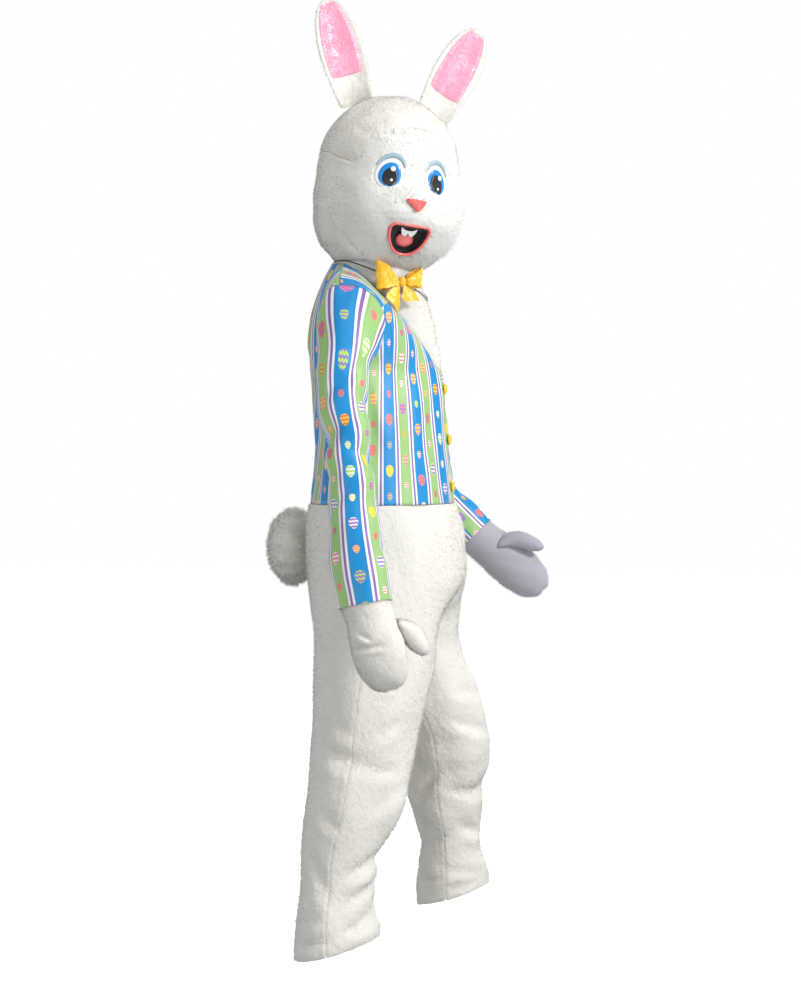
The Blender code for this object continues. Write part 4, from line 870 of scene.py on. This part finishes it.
MITTEN_CREASES = (
    ((-0.046, -0.715), (-0.108, -0.704), 0.006, 0.005),
    ((-0.054, -0.682), (-0.084, -0.696), 0.006, 0.004),
    ((-0.042, -0.648), (-0.042, -0.674), 0.004, 0.004),
    ((-0.070, -0.646), (-0.072, -0.664), 0.004, 0.002),
)


FACING_GAIN = 2.2
FACING_START = 0.25
RIDGE_RISE = 1.6
RIDGE_SHARE = 0.35


def lumps(points, span, seed):
    """Soft uneven swells between -1 and 1, about span apart."""
    rng = np.random.default_rng(seed)
    total = np.zeros(len(points))
    for _ in range(5):
        way = rng.normal(0, 1, 3)
        way = way / np.linalg.norm(way) * 2 * np.pi / (span * rng.uniform(0.7, 1.5))
        total += np.sin(points @ way + rng.uniform(0, 6.3))
    return total / 3


def creased(creases, middle, swell, span, seed, far_side=()):
    """Troughs toward the hollow on the side at -X and others at +X, with soft swells between them."""
    def relief(points, normals):
        out = points - middle(points)
        out = out / np.linalg.norm(out, axis=1)[:, None]
        depth = -swell * lumps(points, span, seed)
        seen = points[:, 1:]
        for way, laid in ((-1, creases), (1, far_side)):
            facing = np.clip(FACING_GAIN * way * out[:, 0] + FACING_START, 0, 1)
            for start, end, width, trough_depth in laid:
                below = seen + np.array([0, RIDGE_RISE * width])
                dip = trough(seen, start, end, width) - RIDGE_SHARE * trough(below, start, end, width)
                depth = depth + trough_depth * dip * facing
        return -out * depth[:, None]
    return relief


def swollen(amount):
    """The piece a little fuller all round."""
    def relief(points, normals):
        return normals * amount
    return relief


BARE_MARGIN = 0.0030
NAP_LEAN = 0.45


# Pile and fur: joined slivers scattered over a piece's outer side
def outer_triangles(piece, keep):
    mesh = piece.data
    mesh.calc_loop_triangles()
    corners = read_rows(mesh.vertices, "co")[read_rows(mesh.loop_triangles, "vertices", np.int64)]
    normals = np.cross(corners[:, 1] - corners[:, 0], corners[:, 2] - corners[:, 0])
    areas = np.linalg.norm(normals, axis=1)
    good = areas > 1e-12
    corners, normals, areas = corners[good], normals[good], areas[good]
    normals = normals / areas[:, None]
    wanted = keep(corners.mean(axis=1), normals)
    return corners, normals, areas * wanted


def pile(name, piece, keep, kind, lie, seed, look,
         clumps=0, clump_pull=0.0, bent=False, bare=None, lean=NAP_LEAN):
    """Hairs of that kind on the piece; lie(points, normals) is the way they are brushed."""
    count, length, width, ruffle = kind
    rng = np.random.default_rng(seed)
    corners, normals, chances = outer_triangles(piece, keep)
    picked = rng.choice(len(chances), count, p=chances / chances.sum())
    a = np.sqrt(rng.random(count))
    b = rng.random(count)
    weights = np.stack([1 - a, a * (1 - b), a * b], axis=1)
    roots = (corners[picked] * weights[:, :, None]).sum(axis=1)
    out = normals[picked]
    way = lie(roots, out)
    way = way + rng.normal(0, ruffle, (count, 3))
    way = way / np.linalg.norm(way, axis=1)[:, None]
    long = length * rng.uniform(0.65, 1.25, count)[:, None]
    middle = roots + (out * 0.62 + way * 0.38) * long * 0.50
    tips = roots + (out * 0.30 + way * 0.80) * long
    if clumps:
        picks = rng.choice(count, clumps)
        gather = tips[picks]
        nearest = nearest_of(tips, gather)
        tips = tips * (1 - clump_pull) + gather[nearest] * clump_pull
        middle = middle * (1 - clump_pull * 0.3) + gather[nearest] * clump_pull * 0.3
        stretch = np.linalg.norm(tips - roots, axis=1)[:, None]
        tips = roots + (tips - roots) / stretch * np.minimum(stretch, long * 1.1)
    if bare is not None:
        ends = np.concatenate([middle, tips, middle * 0.5 + tips * 0.5])
        apart = distance_to(ends, bare).reshape(3, count).min(axis=0)
        stay = apart > BARE_MARGIN
        roots, middle, tips, out = roots[stay], middle[stay], tips[stay], out[stay]
        count = int(stay.sum())
    aside = np.cross(tips - roots, out + rng.normal(0, 0.35, (count, 3)))
    aside *= np.sign((np.cross(aside, tips - roots) * out).sum(axis=1))[:, None]
    aside = aside / np.linalg.norm(aside, axis=1)[:, None] * width / 2
    sunk = roots - out * 0.0004
    if bent:
        verts = np.stack([sunk - aside, sunk + aside, middle + aside * 0.8, middle - aside * 0.8, tips],
                         axis=1).reshape(-1, 3)
        faces = ((0, 1, 2, 3), (3, 2, 4))
    else:
        verts = np.stack([sunk - aside, sunk + aside, tips], axis=1).reshape(-1, 3)
        faces = ((0, 1, 2),)
    points = len(verts) // count
    corners = np.array([corner for face in faces for corner in face])
    starts = np.cumsum([0] + [len(face) for face in faces[:-1]])
    mesh = bpy.data.meshes.new(name)
    mesh.vertices.add(len(verts))
    mesh.vertices.foreach_set("co", verts.ravel())
    loops = np.arange(count)[:, None] * points + corners
    mesh.loops.add(loops.size)
    mesh.loops.foreach_set("vertex_index", loops.ravel())
    mesh.polygons.add(count * len(faces))
    first = np.arange(count)[:, None] * len(corners) + starts
    mesh.polygons.foreach_set("loop_start", first.ravel())
    mesh.update(calc_edges=True)
    mesh.shade_smooth()
    facing = np.repeat(out + lean * (tips - roots) / length, points, axis=0)
    facing = facing / np.linalg.norm(facing, axis=1)[:, None]
    mesh.normals_split_custom_set_from_vertices(facing)
    mesh.materials.append(look)
    hair = placed(name, mesh)
    hair.visible_shadow = False
    hair.visible_diffuse = False
    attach(hair, "root")
    return hair


def tree_of(seeds):
    tree = KDTree(len(seeds))
    for i, seed in enumerate(seeds):
        tree.insert(seed, i)
    tree.balance()
    return tree


def nearest_of(points, seeds):
    tree = tree_of(seeds)
    return np.array([tree.find(p)[1] for p in points])


def distance_to(points, seeds):
    tree = tree_of(seeds)
    return np.array([tree.find(p)[2] for p in points])


FINE = 5


# Brushed ways of the pile
def brushed(*way):
    """The same way all over, with a share of the cloth's own outward way."""
    drop = np.array(way)

    def lie(points, normals):
        return normals * 0.55 + drop
    return lie


def face_brush(points, normals):
    """Fur on the face falls away from the nose, out over the cheeks and down at the chin."""
    nose = np.array(NOSE_PLACE)
    away = points - nose
    away = away / (np.linalg.norm(away, axis=1)[:, None] + 0.02)
    return normals * 0.7 + away * 0.55 + np.array([0.0, 0.0, -0.35])


def outer_side(axis_point):
    """Keeps faces that look away from the hollow's middle."""
    def keep(points, normals):
        return (((points - axis_point(points)) * normals).sum(axis=1) > 0.0).astype(float)
    return keep


def leg_axis(table, side):
    def middle(points):
        centre = limb_centre(table, side, points[:, 2])
        hips = np.stack([points[:, 0] * 0.2, np.full(len(points), -0.03), points[:, 2]], axis=1)
        blend = np.clip((points[:, 2] + 0.80) / 0.10, 0, 1)[:, None]
        return centre * (1 - blend) + hips * blend
    return middle


def point_axis(*place):
    spot = np.array(place)

    def middle(points):
        return np.broadcast_to(spot, points.shape)
    return middle


def upright_axis(x, y):
    def middle(points):
        return np.stack([np.full(len(points), x), np.full(len(points), y), points[:, 2]], axis=1)
    return middle


def clear_of(features):
    """1 away from those nodes and 0 near them, so that no fur grows under the eyes, nose and mouth."""
    def free(points):
        inside = np.zeros(len(points), dtype=bool)
        for node, grow in features:
            inside |= distance_to(points, node_points(node)) < grow
        return (~inside).astype(float)
    return free


def node_points(node):
    """Points spread over a node's triangles."""
    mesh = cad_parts[node].data
    mesh.calc_loop_triangles()
    corners = read_rows(mesh.vertices, "co")[read_rows(mesh.loop_triangles, "vertices", np.int64)]
    shares = [(a, b, FINE - a - b) for a in range(FINE + 1) for b in range(FINE + 1 - a)]
    weights = np.array(shares) / FINE
    spread = np.einsum("sk,tkc->tsc", weights, corners).reshape(-1, 3)
    return np.unique(spread.round(3), axis=0)


def main():
    looks = {
        "stripe": stripe_cloth(),
        "plush": pile_cloth("short plush", (0.76, 0.745, 0.69), 0.08, 0.0035, 16.0),
        "fur": pile_cloth("long fur", (0.80, 0.795, 0.76), 0.06, 0.0035, 22.0),
        "hair": pile_cloth("pile hair", (0.82, 0.805, 0.755), 0.07, 0.0002, 24.0, 0.9),
        # Painted shade: the fur hair's blotches, up to 16% darker and about 1.4 cm across, stand in for the
        # shade between its tufts, since the hairs cast no shadows.
        "long": pile_cloth("fur hair", (0.93, 0.93, 0.89), 0.16, 0.0002, 70.0, 0.9),
        "knit": pile_cloth("palm knit", (0.40, 0.38, 0.44), 0.10, 0.0010, 30.0, 0.85, 0.1),
        "yellow": satin_cloth("bow satin", (0.90, 0.55, 0.015), (0.78, 0.38, 0.005)),
        "pink": satin_cloth("ear satin", (0.84, 0.34, 0.48), (0.70, 0.20, 0.33), 0.24),
        "button": moulded("button plastic", (0.86, 0.62, 0.03), (0.74, 0.45, 0.015), 0.25),
        "coral": moulded("coral paint", (0.82, 0.14, 0.13), (0.72, 0.10, 0.10), 0.45),
        "tongue": moulded("tongue paint", (0.82, 0.18, 0.17), (0.74, 0.13, 0.13), 0.45),
        "inside": moulded("mouth inside", (0.004, 0.004, 0.004), (0.010, 0.008, 0.008), 0.85),
        "black": moulded("black paint", (0.004, 0.004, 0.004), (0.012, 0.012, 0.012), 0.4),
        "white": moulded("eye white", (0.88, 0.88, 0.90), (0.80, 0.81, 0.84), 0.3),
        "blue": moulded("eye blue", (0.012, 0.28, 0.70), (0.005, 0.17, 0.52), 0.3),
        "lid": moulded("lid grey", (0.36, 0.50, 0.58), (0.28, 0.40, 0.47), 0.45),
    }
    dress_torso(looks["stripe"])
    dress_sleeves(looks["stripe"])
    soft = {}
    reliefs = make_reliefs()
    for node, slot, look, levels in SOFT_NODES:
        soft[node] = soft_copy(node, "soft_" + node, looks[look], slot, levels, reliefs.get(node))
    add_eye_lights(soft, looks)
    grow_pile(soft, looks)
    declare_cloth()
    stage()


NOSE_PLACE = (-0.142, -0.124, 0.130)
HEAD_MIDDLE = (-0.02, -0.02, 0.16)
TAIL_MIDDLE = (0.0, 0.167, -0.545)
INSET_AXIS = (0.0, 0.03)
MITTEN_MIDDLES = (
    ("r", (-0.326, -0.067, -0.6365), (-0.338, -0.112, -0.792)),
    ("l", (0.331, -0.1665, -0.5390), (0.338, -0.312, -0.655)),
)
# Kinds of pile: count, length, width, ruffle
TROUSER_PILE = (45000, 0.0052, 0.0009, 0.22)
MASK_PILE = (34000, 0.0038, 0.0008, 0.25)
INSET_PILE = (24000, 0.0050, 0.0009, 0.22)
TAIL_PILE = (24000, 0.011, 0.0009, 0.35)
THUMB_PILE = (9000, 0.0040, 0.0008, 0.22)
MITTEN_PILE = (16000, 0.0045, 0.0008, 0.22)
EAR_PILE = (14000, 0.0040, 0.0008, 0.22)
# Face fur, an under layer and an over layer: number, kind, clumps
FACE_FURS = (
    (1, (46000, 0.010, 0.0009, 0.28), 2600),
    (2, (26000, 0.014, 0.0009, 0.28), 1500),
)
FACE_PIECES = (
    ("eye_white_r", 0.004), ("eye_white_l", 0.004), ("eye_lid_r", 0.004), ("eye_lid_l", 0.004),
    ("nose", 0.004), ("mouth_lip", 0.004), ("mouth_teeth", 0.004), ("mouth_tongue", 0.004),
    ("mouth_lining", 0.003),
)


def grow_pile(soft, looks):
    hair = looks["hair"]
    seed = 11
    for side, table, way in (("r", RIGHT_LEG, -1), ("l", LEFT_LEG, 1)):
        for part in ("front", "back"):
            seed += 1
            node = "trouser_%s_%s" % (part, side)
            pile("pile_" + node, soft[node], outer_side(leg_axis(table, way)), TROUSER_PILE,
                 brushed(0, 0, -0.75), seed, hair)
    head = outer_side(point_axis(*HEAD_MIDDLE))
    for part in ("mask_cap", "mask_back"):
        seed += 1
        pile("pile_" + part, soft[part], head, MASK_PILE, brushed(0, 0, -0.6), seed, hair)
    bare = clear_of(FACE_PIECES)
    face_features = np.concatenate([node_points(node) for node, _ in FACE_PIECES])

    def face_keep(points, normals):
        return head(points, normals) * bare(points)

    for number, kind, clumps in FACE_FURS:
        pile("fur_face_%d" % number, soft["mask_face"], face_keep, kind, face_brush, seed + number,
             looks["long"], clumps=clumps, clump_pull=0.35, bent=True,
             bare=face_features, lean=0.7)
    pile("pile_inset", soft["chest_inset"], outer_side(upright_axis(*INSET_AXIS)), INSET_PILE,
         brushed(0, 0, -0.7), seed + 5, hair)
    pile("pile_tail", soft["tail"], outer_side(point_axis(*TAIL_MIDDLE)), TAIL_PILE,
         brushed(0, 0, -0.25), seed + 6, hair, clumps=700, clump_pull=0.3)
    pile("pile_thumb_r", soft["mitten_thumb_r"], outward_all, THUMB_PILE,
         brushed(0, 0, -0.5), seed + 20, hair)
    for number, (side, wrist, tip) in enumerate(MITTEN_MIDDLES):
        middle = tuple((a + b) / 2 for a, b in zip(wrist, tip))
        pile("pile_mitten_" + side, soft["mitten_back_" + side], outer_side(point_axis(*middle)),
             MITTEN_PILE, brushed(0, 0, -0.6), seed + 10 + number, hair)
        pile("pile_ear_" + side, soft["ear_back_" + side], outward_all, EAR_PILE,
             brushed(0, 0, 0.4), seed + 30 + number, hair)


def middle_of(node):
    low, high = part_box(node)
    return point_axis(*[(a + b) / 2 for a, b in zip(low, high)])


def make_reliefs():
    """The creases of each soft piece, by node."""
    head = point_axis(*HEAD_MIDDLE)
    reliefs = {"tail": creased((), point_axis(*TAIL_MIDDLE), 0.003, 0.030, 8)}
    for part in ("front", "back"):
        reliefs["trouser_%s_r" % part] = creased(
            NEAR_LEG_CREASES, leg_axis(RIGHT_LEG, -1), 0.0030, 0.085, 3, FAR_OUTER_CREASES)
        reliefs["trouser_%s_l" % part] = creased(
            FAR_LEG_CREASES, leg_axis(LEFT_LEG, 1), 0.0030, 0.085, 4, FAR_OUTER_CREASES)
    for part in ("mask_cap", "mask_back"):
        reliefs[part] = creased(MASK_CREASES, head, 0.0018, 0.060, 5, MASK_CREASES)
    for side in ("r", "l"):
        reliefs["mitten_thumb_" + side] = swollen(0.0028)
        reliefs["bow_loop_" + side] = creased((), middle_of("bow_loop_" + side), 0.0022, 0.018, 31)
        reliefs["bow_tail_" + side] = creased((), middle_of("bow_tail_" + side), 0.0012, 0.016, 33)
    reliefs["mask_face"] = creased((), head, 0.0012, 0.050, 6)
    reliefs["chest_inset"] = creased((), upright_axis(*INSET_AXIS), 0.0012, 0.060, 7)
    reliefs["mitten_back_r"] = creased(MITTEN_CREASES, point_axis(-0.332, -0.09, -0.71), 0.0010, 0.040, 9)
    for node, middle in (("mitten_back_l", (0.334, -0.24, -0.597)),
                         ("mitten_palm_l", (0.334, -0.24, -0.597)),
                         ("mitten_palm_r", (-0.332, -0.09, -0.71))):
        reliefs[node] = creased((), point_axis(*middle), 0.0014, 0.035, 10)
    return reliefs


def add_eye_lights(soft, looks):
    """A large and a small painted light on each pupil."""
    up = Vector((0, 0, 1))
    for side in ("r", "l"):
        pupil = soft["eye_pupil_" + side]
        corners = np.array([tuple(v.co) for v in pupil.data.vertices])
        low, high = corners.min(axis=0), corners.max(axis=0)
        middle = Vector((low + high) / 2)
        _, _, facing, _ = pupil.closest_point_on_mesh(middle + (middle - Vector(HEAD_MIDDLE)))
        aside = facing.cross(up).normalized()
        half = Vector(high - low) / 2
        wide = abs(half.x * aside.x) + abs(half.y * aside.y)
        for name, across, rise, size in (("large", 0.42, 0.42, 0.0050), ("small", -0.25, -0.72, 0.0028)):
            spot = middle - aside * wide * across + up * half.z * rise
            _, place, normal, _ = pupil.closest_point_on_mesh(spot + facing * 0.01)
            bm = bmesh.new()
            bmesh.ops.create_uvsphere(bm, u_segments=20, v_segments=12, radius=size)
            bmesh.ops.scale(bm, verts=bm.verts, vec=(1, 1, 0.12))
            turn = normal.to_track_quat("Z", "Y").to_matrix()
            bmesh.ops.rotate(bm, verts=bm.verts, cent=(0, 0, 0), matrix=turn)
            bmesh.ops.translate(bm, verts=bm.verts, vec=place + normal * 0.0004)
            mesh = bpy.data.meshes.new("eye_light")
            bm.to_mesh(mesh)
            bm.free()
            mesh.shade_smooth()
            mesh.materials.append(looks["white"])
            light = placed("eye_light_%s_%s" % (name, side), mesh)
            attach(light, "root")


def outward_all(points, normals):
    return np.ones(len(points))


# Cloth: the piece, the width, length and area of its flat cut in metres, how it is held and what holds it
FRONT = ("cloth_bodice_front_%s",)
FLAT_CUTS = (
    ("cloth_bodice_back_%s", 0.30, 0.50, 0.112, 0.112, "draped", ()),
    ("cloth_bodice_front_%s", 0.30, 0.50, 0.104, 0.104, "draped", ()),
    ("cloth_sleeve_%s", 0.32, 0.63, 0.174, 0.165, "draped", FRONT),
    ("soft_trouser_back_%s", 0.36, 0.90, 0.261, 0.264, "hung", FRONT),
    ("soft_trouser_front_%s", 0.36, 0.88, 0.257, 0.253, "hung", FRONT),
    ("soft_mitten_back_%s", 0.13, 0.22, 0.0209, 0.0235, "laid", ("cloth_sleeve_%s",)),
    ("soft_mitten_palm_%s", 0.13, 0.22, 0.0203, 0.0235, "laid", ("cloth_sleeve_%s",)),
    ("soft_mitten_thumb_%s", 0.10, 0.11, 0.0069, 0.0074, "folded", ("soft_mitten_palm_%s",)),
    ("soft_ear_back_%s", 0.12, 0.24, 0.0199, 0.0199, "stretched", ("soft_mask_cap",)),
    ("soft_ear_lining_%s", 0.075, 0.17, 0.0102, 0.0102, "stretched", ("soft_ear_back_%s",)),
    ("soft_bow_loop_%s", 0.07, 0.08, 0.0045, 0.0033, "folded", ("soft_bow_knot",)),
    ("soft_bow_tail_%s", 0.03, 0.05, 0.0013, 0.0010, "hung", ("soft_bow_knot",)),
)


def declare_cloth():
    for pattern, width, length, right_area, left_area, held, holders in FLAT_CUTS:
        for side, area in (("r", right_area), ("l", left_area)):
            [holder.replace("%s", side) for holder in holders]


SOFT_NODES = (
    ("chest_inset", "plush_white", "plush", 2),
    ("trouser_front_r", "plush_white", "plush", 2), ("trouser_front_l", "plush_white", "plush", 2),
    ("trouser_back_r", "plush_white", "plush", 2), ("trouser_back_l", "plush_white", "plush", 2),
    ("tail", "plush_white", "plush", 1),
    ("mitten_back_r", "plush_white", "plush", 3), ("mitten_back_l", "plush_white", "plush", 3),
    ("mitten_thumb_r", "plush_white", "plush", 2), ("mitten_thumb_l", "knit_grey", "knit", 2),
    ("mitten_palm_r", "knit_grey", "knit", 2), ("mitten_palm_l", "knit_grey", "knit", 2),
    ("mask_face", "fur_white", "fur", 1), ("mask_back", "plush_white", "plush", 2),
    ("mask_cap", "plush_white", "plush", 2),
    ("ear_back_r", "plush_white", "plush", 1), ("ear_back_l", "plush_white", "plush", 1),
    ("ear_lining_r", "satin_pink", "pink", 1), ("ear_lining_l", "satin_pink", "pink", 1),
    ("eye_white_r", "eye_white", "white", 1), ("eye_white_l", "eye_white", "white", 1),
    ("eye_iris_r", "eye_blue", "blue", 1), ("eye_iris_l", "eye_blue", "blue", 1),
    ("eye_pupil_r", "black", "black", 1), ("eye_pupil_l", "black", "black", 1),
    ("eye_lid_r", "lid_grey", "lid", 1), ("eye_lid_l", "lid_grey", "lid", 1),
    ("nose", "coral", "coral", 1), ("mouth_lining", "black", "inside", 1),
    ("mouth_lip", "coral", "coral", 1), ("mouth_tongue", "coral", "tongue", 1),
    ("mouth_teeth", "eye_white", "white", 1),
    ("bow_loop_r", "satin_yellow", "yellow", 3), ("bow_loop_l", "satin_yellow", "yellow", 3),
    ("bow_tail_r", "satin_yellow", "yellow", 3), ("bow_tail_l", "satin_yellow", "yellow", 3),
    ("bow_knot", "satin_yellow", "yellow", 2),
    ("button_1", "plastic_yellow", "button", 1), ("button_2", "plastic_yellow", "button", 1),
    ("button_3", "plastic_yellow", "button", 1),
    ("bow_elastic", "black", "black", 1),
)


BACKDROP_LIGHT = 1.0
ROOM_LIGHT = 0.38
FLOOR_SIZE = 12.0
FLOOR_COLOUR = (0.92, 0.92, 0.92, 1)
FLOOR_GLOW = 0.66
LIGHTS_AIM_Z = -0.4
# Lights: name, turn from the camera in degrees, height over their aim, distance, size, power
LIGHTS = (
    ("key", 56, 1.9, 3.0, 0.6, 84),
    ("fill", -45, 0.4, 3.6, 1.5, 34),
    ("low", 48, -0.4, 3.0, 0.8, 34),
    ("top", 20, 3.0, 1.4, 0.8, 20),
    ("back", 168, 1.2, 3.2, 1.5, 125),
)


def stage():
    """Camera, lights and a pale floor."""
    forward = Vector((math.sin(CAMERA_TURN), math.cos(CAMERA_TURN), 0.0))
    right = Vector((math.cos(CAMERA_TURN), -math.sin(CAMERA_TURN), 0.0))
    camera = bpy.data.cameras.new("camera")
    camera.sensor_width = SENSOR_MM
    camera.sensor_fit = "AUTO"
    camera.lens = SENSOR_MM * FOCAL_PIXELS / IMAGE_HEIGHT
    camera.shift_y = -HORIZON_ABOVE_MIDDLE / IMAGE_HEIGHT
    seen = placed("camera", camera)
    seen.location = -forward * CAMERA_AWAY + right * CAMERA_ASIDE + Vector((0, 0, CAMERA_Z))
    seen.rotation_euler = (math.pi / 2, 0.0, -CAMERA_TURN)
    bpy.context.scene.camera = seen
    bpy.context.scene.view_settings.view_transform = "Standard"

    bm = bmesh.new()
    bmesh.ops.create_grid(bm, x_segments=2, y_segments=2, size=FLOOR_SIZE)
    bmesh.ops.translate(bm, verts=bm.verts, vec=(0, 0, FLOOR_Z))
    mesh = bpy.data.meshes.new("floor")
    bm.to_mesh(mesh)
    bm.free()
    floor_look, _, shader = new_material("pale floor", 0.7)
    shader.inputs["Base Color"].default_value = FLOOR_COLOUR
    shader.inputs["Emission Color"].default_value = (1, 1, 1, 1)
    shader.inputs["Emission Strength"].default_value = FLOOR_GLOW
    mesh.materials.append(floor_look)
    floor = placed("floor", mesh)
    floor.visible_diffuse = False

    world = bpy.data.worlds.new("pale studio")
    world.use_nodes = True
    sky = Nodes(world.node_tree)
    seen_sky = sky.add("ShaderNodeLightPath").outputs["Is Camera Ray"]
    backdrop = world.node_tree.nodes["Background"]
    backdrop.inputs[0].default_value = (1.0, 1.0, 1.0, 1)
    sky.put(backdrop.inputs[1], sky.math("MULTIPLY_ADD", seen_sky, BACKDROP_LIGHT - ROOM_LIGHT, ROOM_LIGHT))
    bpy.context.scene.world = world
    aim = Vector((0, 0, LIGHTS_AIM_Z))
    for name, turn, height, away, size, power in LIGHTS:
        lamp = bpy.data.lights.new(name, "AREA")
        lamp.size = size
        lamp.energy = power
        holder = placed(name, lamp)
        angle = CAMERA_TURN - math.radians(turn)
        way = Vector((-math.sin(angle), -math.cos(angle), 0.0))
        holder.location = way * away + Vector((0, 0, LIGHTS_AIM_Z + height))
        holder.rotation_euler = (aim - holder.location).to_track_quat("-Z", "Y").to_euler()


main()
